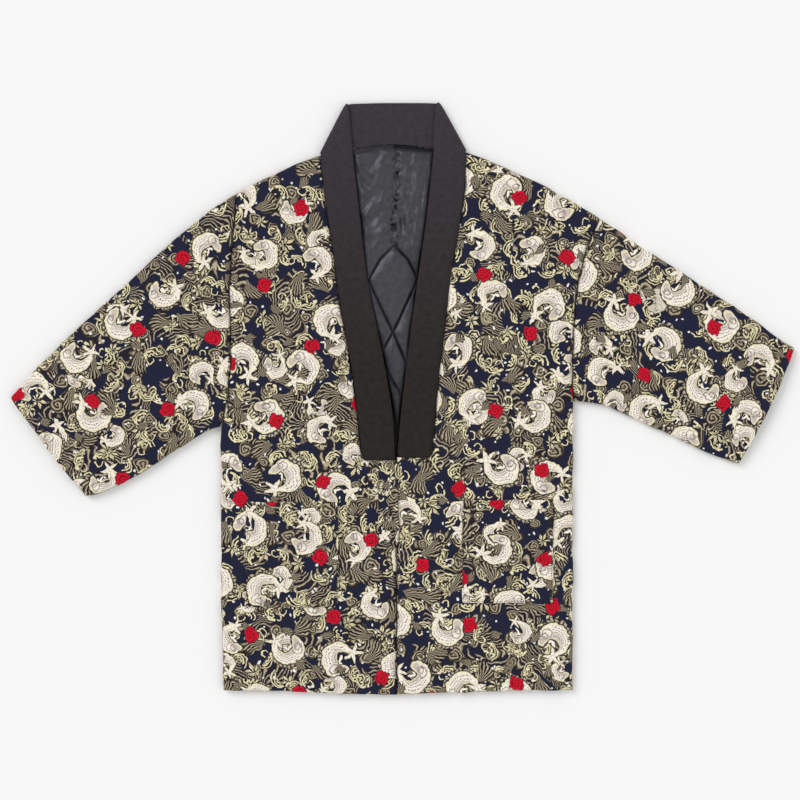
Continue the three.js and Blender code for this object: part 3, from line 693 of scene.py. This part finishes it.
# the satin is darkened by painted shade in its quilting valleys, its puckers and the collar's shadow
SATIN = cloth_material(
    "lining_satin", roughness=0.46, sheen=0.03, threads=2.2, slub=0.2, bump=0.2,
    specular=0.25, base=linear(66, 64, 69), tints=linear(88, 87, 93), painted_shade_colour=linear(5, 5, 6),
    silk=0.65)
print("cloths:", PRINTED.name, BLACK.name, SATIN.name)

# %% [markdown]
# ## From CAD solid to cloth
#
# Each sewn piece starts from its own CAD solid, so it keeps its size and place. Its
# triangles are joined into quads and smoothed with subdivision. Then its upper face is
# moved by the listed creases, by the pull of the seams and by the slight unevenness of
# the padding. Last, every piece gets a UV map that holds the cloth's own plane in
# metres, turned with the piece's grain and shifted, because each piece is cut from
# another part of the print.


# %% Quads from a CAD solid
MERGE = 0.02 * MM  # corners nearer than this are one
RIM_ANGLE = math.radians(50)  # an edge as sharp as this is a rim, kept firm


def quads_from(node, flatness):
    """A CAD solid's triangles, merged and joined into quads where they lie flat enough."""
    bm = bmesh.new()
    bm.from_mesh(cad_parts[node].data)
    bmesh.ops.remove_doubles(bm, verts=bm.verts, dist=MERGE)
    bmesh.ops.join_triangles(
        bm, faces=bm.faces, angle_face_threshold=math.radians(flatness),
        angle_shape_threshold=math.radians(100))
    return bm


def smooth_copy(node, level, firmness):
    """A quad copy of a CAD solid, subdivided and smoothed. A firm rim keeps its outline."""
    bm = quads_from(node, flatness=35)
    firm = bm.edges.layers.float.new("crease_edge")
    for edge in bm.edges:
        if len(edge.link_faces) == 2 and edge.calc_face_angle() > RIM_ANGLE:
            edge[firm] = firmness
    piece = object_from(node + "_cloth", bm)
    smoothing = piece.modifiers.new("smooth", "SUBSURF")
    smoothing.levels = smoothing.render_levels = level
    ready = piece.evaluated_get(bpy.context.evaluated_depsgraph_get())
    piece.data = bpy.data.meshes.new_from_object(ready)
    piece.modifiers.clear()
    piece.data.name = piece.name
    return piece


print("CAD nodes to dress:", len(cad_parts))

# %% [markdown]
# ## Creases and seams
#
# Laid cloth is never even. Long soft creases run out from the underarms and along the
# sleeves, and each seam pulls the padding down in a narrow valley with small puckers
# beside it. A cloth simulation would make creases too, but not where the real ones lie.
# So they are listed, in millimetres on the plan of the jacket.

# %% Creases: from, to, height and half width
CREASES = [
    (-262, -30, -140, 48, 1.8, 9), (-262, -38, -170, -14, -1.3, 7), (-258, -20, -196, 74, 1.2, 8),
    (-255, -50, -205, -82, 1.2, 9), (-243, 150, -190, 128, 1.2, 8), (-247, 60, -214, 26, 1.1, 7),
    (-270, -32, -340, 74, 1.8, 10), (-276, -38, -392, 14, 1.6, 10), (-290, -48, -430, -38, -1.3, 9),
    (-330, 150, -420, 62, 1.2, 12), (-392, 110, -480, 20, 1.1, 12), (-420, -90, -500, -30, 1.2, 12),
    (-262, 190, -330, 128, 1.2, 10), (-300, 40, -376, -54, 1.1, 9),
    (249, 2, 150, 66, 1.7, 9), (247, -6, 172, -4, -1.2, 7), (246, 20, 196, 92, 1.1, 8),
    (246, -14, 200, -60, 1.1, 9), (250, 150, 200, 120, 1.1, 8), (262, 210, 214, 168, 1.2, 8),
    (258, 8, 330, 98, 1.8, 10), (262, 0, 372, 46, 1.6, 10), (300, -8, 420, -14, -1.2, 9),
    (300, 196, 390, 138, 1.1, 12), (390, 118, 486, 66, 1.1, 12), (404, -44, 488, 22, 1.2, 12),
    (272, 160, 330, 60, 1.1, 9), (330, 120, 400, 10, 1.0, 9),
    (-184, 236, -166, 120, 1.1, 12), (-150, 60, -128, -60, 0.9, 14), (178, 230, 150, 110, 1.1, 12),
    (-232, -330, -222, -416, 1.0, 8), (-170, -340, -164, -420, 0.9, 9), (-70, -300, -58, -420, 0.9, 11),
    (60, -290, 70, -418, 1.0, 11), (150, -330, 140, -420, 0.8, 9), (226, -310, 220, -414, 1.0, 8),
    (-60, -170, -54, -280, 0.8, 12), (62, -150, 68, -260, 0.8, 12),
]
ARMHOLE_LEFT = [(-264, -42), (-253, -2), (-249, 61), (-250, 116), (-251.5, 161), (-248, 206),
                (-244.3, 248), (-241.4, 298)]
ARMHOLE_RIGHT = [(248, -5), (246.8, 29), (247, 65), (248, 101), (251, 138), (255.5, 174),
                 (268, 226), (286, 262)]
CENTRE_SLIT = [(-9.0, -92), (-9.0, -200), (-9.0, -300), (-9.0, -429)]
COLLAR_SEAM_LEFT = [(-58.7, -88), (-65, -29), (-70, 21), (-79, 76), (-91, 136), (-98, 196),
                    (-107, 256), (-114.5, 306), (-119.5, 353)]
COLLAR_SEAM_RIGHT = [(42.5, -85), (47, -29), (51.5, 21), (57, 76), (65, 136), (72, 196),
                     (83.5, 256), (90.5, 306), (92.5, 357)]
print("creases placed by hand:", len(CREASES))

# %% Heights from creases, seams and wadding
VALLEY_DEPTH, VALLEY_WIDTH = 1.6, 3.2
PUCKER_RISE, PUCKER_REACH = 1.1, 12
SEAM_REACH = 40  # nothing of a seam is felt further away than this
# painted shade beside a seam: how dark it is, and its half width in millimetres
SEAM_DARKNESS, SEAM_WIDTH = 0.85, 1.7
FAR = 1e9  # further than any seam
CREASE_REACH = 30  # nothing of a crease is felt this far outside its box
CREASE_SWAY = 5


def soft_noise(x, y, wide, tall, seed):
    """Noise from -1 to 1 whose lumps are about so wide and so tall, in millimetres."""
    return noise.noise(Vector((x / wide, y / tall, seed)))


def clamp(value):
    """A value kept between 0 and 1."""
    return max(0.0, min(1.0, value))


def nearest_on(line, x, y):
    """Distance from a point to a line of short runs, and how far along it that is."""
    best, where, run = FAR, 0.0, 0.0
    for (ax, ay), (bx, by) in zip(line, line[1:]):
        dx, dy = bx - ax, by - ay
        size = math.hypot(dx, dy)
        t = clamp(((x - ax) * dx + (y - ay) * dy) / size ** 2)
        away = math.hypot(x - ax - t * dx, y - ay - t * dy)
        if away < best:
            best, where = away, run + t * size
        run += size
    return best, where


def crease_height(x, y):
    """Sum of the listed creases at a point, in millimetres."""
    height = 0.0
    for ax, ay, bx, by, rise, width in CREASES:
        beside = min(ax, bx) - CREASE_REACH < x < max(ax, bx) + CREASE_REACH
        if not beside or not min(ay, by) - CREASE_REACH < y < max(ay, by) + CREASE_REACH:
            continue
        dx, dy = bx - ax, by - ay
        size = math.hypot(dx, dy)
        t = ((x - ax) * dx + (y - ay) * dy) / size ** 2
        sway = CREASE_SWAY * noise.noise(Vector((ax * 0.1, t * 2.2, 3)))
        away = ((x - ax) * dy - (y - ay) * dx) / size + sway
        ends = max(0.0, 1 - (2 * t - 1) ** 2) ** 0.7 if 0 < t < 1 else 0.0
        height += rise * ends * math.exp(-(away / width) ** 2)
    return height


def seam_height(x, y, lines):
    """The valley at a seam and the puckers beside it, in millimetres."""
    height = 0.0
    for line in lines:
        away, along = nearest_on(line, x, y)
        if away < SEAM_REACH:
            pucker = soft_noise(along, away, 7.0, 26.0, seed=line[0][0])
            height += PUCKER_RISE * pucker * math.exp(-away / PUCKER_REACH) * min(1.0, away / 3)
            height -= VALLEY_DEPTH * math.exp(-(away / VALLEY_WIDTH) ** 2)
    return height


def seam_shade(x, y, lines):
    """How much painted shade darkens the cloth beside a seam, from 0 to 1."""
    away = min((nearest_on(line, x, y)[0] for line in lines), default=FAR)
    return SEAM_DARKNESS * math.exp(-(away / SEAM_WIDTH) ** 2)


def padding_height(x, y):
    """Uneven wadding: wide soft lumps and a few smaller ones, in millimetres."""
    return 1.1 * soft_noise(x, y, 62, 62, seed=0.3) + 0.45 * soft_noise(x, y, 21, 24, seed=5.1)


print("wadding in the middle of a front, in millimetres:", round(padding_height(120, 0), 2))


# %% Moving the upper face
EDGE_ON = 0.05  # a place that faces up less than this stays where it is
WANDER = 1.7  # how far a cut edge strays, in millimetres


def read_points(mesh):
    """All places and normals of a mesh at once, which is much quicker than one by one."""
    places = np.empty(len(mesh.vertices) * 3)
    normals = np.empty(len(mesh.vertices) * 3)
    mesh.vertices.foreach_get("co", places)
    mesh.vertices.foreach_get("normal", normals)
    return places.reshape(-1, 3), normals.reshape(-1, 3)


def write_points(mesh, places):
    """Puts all places back in a mesh."""
    mesh.vertices.foreach_set("co", places.ravel())
    mesh.update()


def rumple(piece, lines=(), creases=1.0, padding=1.0, whole=False):
    """Moves a piece's upper face by its creases, seams and padding, and notes the painted shade beside
    its seams.
    """
    places, normals = read_points(piece.data)
    shades = np.zeros(len(places))
    for index, (place, normal) in enumerate(zip(places, normals)):
        facing = 1.0 if whole else max(0.0, float(normal[2])) ** 0.6
        if facing < EDGE_ON:
            continue
        x, y = float(place[0]) / MM, float(place[1]) / MM
        height = creases * crease_height(x, y) + padding * padding_height(x, y)
        place[2] += facing * (height + seam_height(x, y, lines)) * MM
        shades[index] = seam_shade(x, y, lines)
    piece.data.attributes.new("painted_shade", "FLOAT", "POINT").data.foreach_set("value", shades)
    write_points(piece.data, places)


def wander(piece):
    """Lets the cut edges run a little unevenly, the same way in every layer."""
    places, _ = read_points(piece.data)
    for place in places:
        x, y = float(place[0]) / MM, float(place[1]) / MM
        place[0] += WANDER * soft_noise(x, y, 40, 22, seed=11.5) * MM
        place[1] += WANDER * soft_noise(x, y, 22, 40, seed=15.5) * MM
    write_points(piece.data, places)


print("a cut edge strays by less than", WANDER, "mm")


# %% The cloth's plane, and a piece's cloth
def lay_cloth_map(piece, turn, shift):
    """A UV map of the cloth's own plane, in metres. Sides carry on from the face."""
    mesh = piece.data
    layer = mesh.uv_layers.new(name="cloth")
    cosine, sine = math.cos(turn), math.sin(turn)
    places, normals = read_points(mesh)
    depth = (places[:, 2].max() - places[:, 2]) * (1 - np.abs(normals[:, 2]))
    x = places[:, 0] + normals[:, 0] * depth
    y = places[:, 1] + normals[:, 1] * depth
    across, up = x * cosine - y * sine + shift[0], x * sine + y * cosine + shift[1]
    spots = np.stack((across, up), axis=1)
    corners = np.empty(len(mesh.loops), dtype=int)
    mesh.loops.foreach_get("vertex_index", corners)
    layer.data.foreach_set("uv", spots[corners].ravel())


def finish_piece(piece, material, node):
    """Gives a piece its cloth, and its place among the CAD nodes and slots."""
    piece.data.materials.clear()
    piece.data.materials.append(material)
    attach(piece, "root")
    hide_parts(node)


print("each piece rides on root and takes the place of one CAD node")

# %% [markdown]
# ## The printed pieces
#
# The back, the two fronts, the two sleeves, the pockets and the ties are all the same
# printed cotton. The fronts and the sleeves are padded, so their upper faces are full
# between the seams.

# %% Fronts, sleeves and back
PRINTED_PIECES = {
    # node: (smoothing, seams beside it, grain turn, shift on the cloth)
    "front_left": (3, (ARMHOLE_LEFT, COLLAR_SEAM_LEFT, CENTRE_SLIT), 0.0, (0.31, 0.12)),
    "front_right": (3, (ARMHOLE_RIGHT, COLLAR_SEAM_RIGHT, CENTRE_SLIT), 0.0, (1.73, 0.57)),
    "sleeve_left": (3, (ARMHOLE_LEFT,), -0.80, (3.11, 0.83)),
    "sleeve_right": (3, (ARMHOLE_RIGHT,), 0.55, (4.27, 1.91)),
    "back": (2, (), 0.0, (6.05, 1.37)),
}
printed = {}
for node, (level, seams, turn, shift) in PRINTED_PIECES.items():
    piece = smooth_copy(node, level, firmness=0.35)
    if node != "back":
        rumple(piece, seams)
    lay_cloth_map(piece, turn, shift)
    wander(piece)
    finish_piece(piece, PRINTED, node)
    printed[node] = piece
    print(node, len(piece.data.polygons), "faces")

# %% Pockets and ties
TRIMS = {
    # node: (smoothing, grain turn, shift on the cloth)
    "pocket_left": (4, 0.0, (8.20, 0.38)),
    "pocket_right": (4, 0.0, (9.46, 1.22)),
    "tie_left": (3, math.pi / 2, (10.32, 0.71)),
    "tie_right": (3, math.pi / 2, (11.58, 1.05)),
}
for node, (level, turn, shift) in TRIMS.items():
    piece = smooth_copy(node, level, firmness=0.5)
    rumple(piece, whole=True)
    lay_cloth_map(piece, turn, shift)
    wander(piece)
    finish_piece(piece, PRINTED, node)
    printed[node] = piece
    print(node, len(piece.data.polygons), "faces")

# %% [markdown]
# ## The collar
#
# The collar is one straight band of black cotton, folded double. It runs up one front,
# folds over at the neck, passes behind the neck and comes down the other front. Its
# solid has the folds, so it only needs soft edges, square ends and a little wadding.

# %% Collar
COLLAR_ENDS = [
    # from x, to x, the end's height at each, the height of the front's edge
    (-57.0, -10.0, -88.1, -90.0, -90.1),
    (-6.0, 43.5, -79.1, -85.1, -85.1),
]
END_REACH = 45.0  # how far up the band the pull is felt
ENDS_BELOW = -40


def square_ends(piece):
    """Draws the band's two ends down to the edges of the fronts that they are sewn to."""
    places, _ = read_points(piece.data)
    for place in places:
        x, y = float(place[0]) / MM, float(place[1]) / MM
        for xa, xb, ya, yb, edge in COLLAR_ENDS:
            if xa <= x <= xb and y < ENDS_BELOW:
                end = ya + (yb - ya) * (x - xa) / (xb - xa)
                share = max(0.0, 1 - max(0.0, y - end) / END_REACH)
                place[1] += (edge - end) * share * MM
    write_points(piece.data, places)


collar = smooth_copy("collar", 3, firmness=0.72)
square_ends(collar)
rumple(collar, (COLLAR_SEAM_LEFT, COLLAR_SEAM_RIGHT), creases=0.0, padding=0.6)
lay_cloth_map(collar, turn=0.0, shift=(0.0, 0.0))
finish_piece(collar, BLACK, "collar")
print("collar", len(collar.data.polygons), "faces")

# %% [markdown]
# ## The quilted lining
#
# In the neck opening the satin lining shows. Machine stitches hold it to the wadding in
# long diamonds, and each diamond stands up as a soft pillow between valleys, which are
# darkened further by painted shade, as is the satin in the collar's shadow. The
# part that shows is cut finer, and each of its points is lifted by its distance to the
# nearest line of stitches. A bump alone would look flat from the side.

# %% Where the lining is stitched, folded and shaded
STITCH_LINES = [
    # from x, y to x, y
    (-50.0, 171.8, -13.8, 96.4), (22.5, 173.3, -13.8, 96.4), (-12.3, 222.6, -32.6, 202.3),
    (-32.6, 202.3, -50.0, 171.8), (-12.3, 222.6, 8.0, 202.0), (8.0, 202.0, 22.5, 173.3),
    (-13.8, 96.4, -26.8, 73.2), (-26.8, 73.2, -34.0, 60.0), (-13.8, 96.4, 5.1, 52.9),
    (5.1, 52.9, 12.0, 36.0), (-30.0, 52.0, -0.7, 3.6), (-0.7, 3.6, 4.0, -12.0),
    (-50.0, 171.8, -72.0, 214.0), (22.5, 173.3, 44.0, 214.0), (-20.0, -20.0, 0.0, -60.0),
]
CENTRE_PUCKER = [(-9.0, 352.0), (-7.0, 300.0), (-14.0, 262.0), (-12.3, 222.6)]
SATIN_FOLDS = [
    # from x, y to x, y, rise, half width
    (-70, 348, -52, 318, 1.6, 4), (-66, 330, -44, 290, -1.2, 4), (-62, 252, -44, 282, 1.6, 5),
    (-50, 262, -20, 300, 1.2, 6), (24, 330, 12, 268, 1.2, 6), (40, 318, 30, 240, 1.6, 7),
    (2, 300, 14, 236, 1.0, 5), (-40, 236, -16, 250, 1.0, 5), (20, 350, 2, 320, 0.9, 4),
    (-30, 345, -36, 310, 0.8, 5), (-46, 160, -20, 130, 1.0, 6), (10, 160, -4, 120, 1.0, 6),
]
# painted shadow of the collar on the lining, how dark at each height: height, share
LEFT_SHADE = [(-90, 2.5), (40, 1.6), (84, 1.2), (104, 0.2), (170, 0.5), (190, 0.2), (225, 0.4),
              (240, 0.95), (262, 0.9), (280, 0.3), (300, 0.6), (330, 0.3), (360, 0.6)]
RIGHT_SHADE = [(-90, 2.5), (20, 1.2), (60, 0.5), (130, 0.6), (150, 1.3), (196, 1.3), (220, 0.8),
               (260, 0.45), (330, 0.5), (360, 0.9)]
SHADE_REACH = 5.5  # how far the collar's shade goes, in millimetres
# the sides of the neck opening: height, x
OPENING_LEFT = [(-90, -12.5), (-31, -12.5), (19, -21), (76, -31), (136, -44.5), (196, -55),
                (256, -60.5), (306, -67), (360, -73)]
OPENING_RIGHT = [(-82, -7), (-29, -3), (21, 2.5), (76, 9), (136, 17), (196, 25.5),
                 (256, 34.5), (306, 40), (360, 46)]


def value_at(table, y):
    """The value that a short table gives at a height, mixed between its rows."""
    for (ya, value_a), (yb, value_b) in zip(table, table[1:]):
        if y <= yb:
            return value_a + (value_b - value_a) * clamp((y - ya) / (yb - ya))
    return table[-1][1]


print("width of the opening at its top:", value_at(OPENING_RIGHT, 360) - value_at(OPENING_LEFT, 360))


# %% How high the lining stands
LINING_LEVEL = 5.0  # the satin's own level over the floor, where nothing lifts it
PILLOW_RISE, PILLOW_REACH = 4.9, 8
STITCH_SINK, STITCH_WIDTH = 2.0, 1.5
LOWEST = -1.6  # the satin sinks no further under its level than this
LIVELY_FROM = 215  # above this height the satin is crinkled
CENTRE_FOLD_X = -12  # the folds run another way on each side of it


def fold_height(x, y):
    """Sum of the satin's short soft folds at a point, each one highest in its middle."""
    total = 0.0
    for ax, ay, bx, by, rise, width in SATIN_FOLDS:
        away, along = nearest_on([(ax, ay), (bx, by)], x, y)
        size = math.hypot(bx - ax, by - ay)
        profile = 0.35 + 0.65 * math.sin(math.pi * along / size)
        total += rise * math.exp(-(away / width) ** 2) * profile
    return total


def stitch_distance(x, y):
    """Distance in millimetres to the nearest line of quilting."""
    return min(nearest_on([(ax, ay), (bx, by)], x, y)[0] for ax, ay, bx, by in STITCH_LINES)


def band_edge(x):
    """Height of the neck band's lower edge, a shallow arch."""
    return 364.3 - 6.5 * ((x + 13) / 58) ** 2


def crinkle_height(x, y):
    """The satin's fine crinkles, lively near the neck and faint below."""
    if x < CENTRE_FOLD_X:
        silk = soft_noise(0.85 * x - 0.5 * y, 0.5 * x + 0.85 * y, 12, 30, seed=2.5)
    else:
        silk = soft_noise(x, y, 8, 42, seed=4.5)
    if y <= LIVELY_FROM:
        return silk * 0.8
    patchy = 0.5 + soft_noise(x, y, 16, 26, seed=6.5)
    return silk * (4.2 * patchy) + 0.6 * soft_noise(x, y, 6, 7, seed=9.5)


def collar_shade(table, y, inside):
    """The collar's shade on the lining, strongest at the opening's sides."""
    return math.exp(-max(0.0, inside) / SHADE_REACH) * value_at(table, y)


def lining_height(x, y):
    """Height of the lining's upper face over the floor, in millimetres, and how dark its painted shade
    is.
    """
    from_left, from_right = x - value_at(OPENING_LEFT, y), value_at(OPENING_RIGHT, y) - x
    inside = min(from_left, from_right, band_edge(x) - y)
    open_share = clamp((inside + 1.5) / 9.0)
    open_share = open_share ** 2 * (3 - 2 * open_share)

    stitch = stitch_distance(x, y)
    full = PILLOW_RISE * (1 - math.exp(-stitch / PILLOW_REACH))
    full -= STITCH_SINK * math.exp(-(stitch / STITCH_WIDTH) ** 2)
    full += 0.8 * soft_noise(x, y, 7, 9, seed=1.5) * math.exp(-stitch / 6)
    full += crinkle_height(x, y)

    away, along = nearest_on(CENTRE_PUCKER, x, y)
    pucker, gather = math.exp(-(away / 5) ** 2), soft_noise(x, along, 4, 4, seed=8.5)
    full += pucker * (2.0 * gather - 1.6)
    full += 1.6 * fold_height(x, y)

    # the painted shade of a valley is wider towards the viewer's right, most of all higher up
    valley = 1.25 + 1.1 * clamp((x + 16) / 34) * (1 if y > 100 else 0.4)
    stitch_shade = math.exp(-(stitch / valley) ** 2)
    pucker_shade = 1.3 * pucker * max(0.0, 0.30 - gather)
    side = LEFT_SHADE if from_left < from_right else RIGHT_SHADE
    # painted shade: dark in the stitched valleys, in the centre puckers and in the collar's shadow
    dark = max(stitch_shade, pucker_shade, collar_shade(side, y, inside))
    return LINING_LEVEL + open_share * max(LOWEST, full), min(1.0, dark)


middle, _ = lining_height(-14.0, 150.0)
print("height of a diamond's middle over the floor, in millimetres:", round(middle, 2))


# %% Lining
SEEN_X, SEEN_Y = (-88, 60), (-92, 372)  # the part that can be seen in the opening
CUT_FROM = -95  # cut finer from a little below it
FINE_CUTS = 9


def quilted_lining():
    """The CAD lining with its seen part cut fine and quilted."""
    bm = quads_from("lining_back", flatness=60)
    centres = {face: face.calc_center_median() / MM for face in bm.faces if face.normal.z > 0.5}
    seen = [face for face, centre in centres.items()
            if SEEN_X[0] < centre.x < SEEN_X[1] and centre.y > CUT_FROM]
    edges = dict.fromkeys(edge for face in seen for edge in face.edges)
    bmesh.ops.subdivide_edges(bm, edges=list(edges), cuts=FINE_CUTS, use_grid_fill=True)
    bm.normal_update()
    painted_shade_layer = bm.verts.layers.float.new("painted_shade")
    upper = {vertex for face in bm.faces if face.normal.z > 0.3 for vertex in face.verts}
    for vertex in upper:
        x, y = vertex.co.x / MM, vertex.co.y / MM
        # each seen point also notes how much painted shade darkens it
        if SEEN_X[0] < x < SEEN_X[1] and SEEN_Y[0] < y < SEEN_Y[1]:
            height, vertex[painted_shade_layer] = lining_height(x, y)
            vertex.co.z = height * MM
    return object_from("lining_quilted", bm)


lining = quilted_lining()
lay_cloth_map(lining, turn=0.0, shift=(0.0, 0.0))
finish_piece(lining, SATIN, "lining_back")
print("lining", len(lining.data.polygons), "faces")

# %% [markdown]
# ## Stitches
#
# The patch pockets are stitched down on three sides, with a hem across the mouth, and
# the lining is quilted by machine. Each stitch is a small bead of thread that follows
# the cloth under it: a ray from above finds the place. All the stitches of one pocket,
# or of the quilting, are one mesh.


# %% Thread and its beads
RAY_FROM = 0.05  # metres over the floor, clear of all cloth
BEAD_SHARE = 0.36  # half a bead's length, as a share of the pitch
POCKET_PITCH, QUILT_PITCH = 3.6, 3.0  # millimetres from one stitch to the next
BEAD_LIFT = 0.25  # how far a bead's middle lies over the cloth, as a share of its radius


def thread_material(name, colour):
    """Twisted thread: its own colour, with painted shade for the turns of the ply, darker in noise
    specks.
    """
    thread, tree, shader = new_material(name)
    coordinates = tree.nodes.new("ShaderNodeTexCoord")
    ply = tree.nodes.new("ShaderNodeTexNoise")
    ply.inputs["Scale"].default_value = 2500
    tree.links.new(coordinates.outputs["Object"], ply.inputs["Vector"])
    # painted shade of the ply's turns: half the thread's colour, mixed in by fine noise
    darker = tuple(c * 0.5 for c in colour[:3]) + (1.0,)
    tint = layered(tree, darker, colour, Field(tree, ply.outputs[0]))
    tree.links.new(tint, shader.inputs["Base Color"])
    shader.inputs["Roughness"].default_value = 0.6
    return thread


def sew_run(bm, ground, start, end, pitch, radius):
    """Adds a bead for each stitch between two points, on the cloth that a ray meets."""
    (ax, ay), (bx, by) = start, end
    run = math.hypot(bx - ax, by - ay)
    turn = Matrix.Rotation(math.atan2(by - ay, bx - ax), 4, "Z")
    shape = Matrix.Diagonal((pitch * BEAD_SHARE * MM, radius * MM, radius * MM, 1))
    for k in range(int(run / pitch)):
        t = (k + 0.5) * pitch / run
        spot = Vector(((ax + t * (bx - ax)) * MM, (ay + t * (by - ay)) * MM, RAY_FROM))
        hit = ground.ray_cast(spot, Vector((0, 0, -1)))[0]
        if hit is not None:
            place = Matrix.Translation(hit + Vector((0, 0, BEAD_LIFT * radius * MM)))
            bmesh.ops.create_uvsphere(
                bm, u_segments=6, v_segments=4, radius=1, matrix=place @ turn @ shape)


def stitch_rows(name, rows, cloth, pitch, radius, colour):
    """Beads of thread along rows of points, laid on a cloth, as one object."""
    ground = BVHTree.FromObject(cloth, bpy.context.evaluated_depsgraph_get())
    bm = bmesh.new()
    for row in rows:
        for start, end in zip(row, row[1:]):
            sew_run(bm, ground, start, end, pitch, radius)
    sewn = object_from(name, bm)
    sewn.data.materials.append(thread_material(name + "_thread", colour))
    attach(sewn, "root")
    return sewn


print("a pocket's bead is", round(2 * BEAD_SHARE * POCKET_PITCH, 2), "mm long")


# %% Sewing the pockets and the quilting
def pocket_rows(piece, inset, hem):
    """A U of stitches inside a pocket's edge, and one row under its mouth."""
    places, _ = read_points(piece.data)
    x0, y0 = places[:, :2].min(axis=0) / MM
    x1, y1 = places[:, :2].max(axis=0) / MM
    left, right, low = x0 + inset, x1 - inset, y0 + inset
    return [[(left, y1 - inset), (left, low), (right, low), (right, y1 - inset)],
            [(left, y1 - hem), (right, y1 - hem)]]


for node in ("pocket_left", "pocket_right"):
    rows = pocket_rows(printed[node], inset=3.0, hem=14.0)
    stitch_rows(
        node + "_stitches", rows, printed[node], pitch=POCKET_PITCH, radius=0.34,
        colour=linear(34, 36, 56))
quilting = [[(ax, ay), (bx, by)] for ax, ay, bx, by in STITCH_LINES]
stitch_rows(
    "lining_stitches", quilting, lining, pitch=QUILT_PITCH, radius=0.22,
    colour=linear(7, 7, 8))
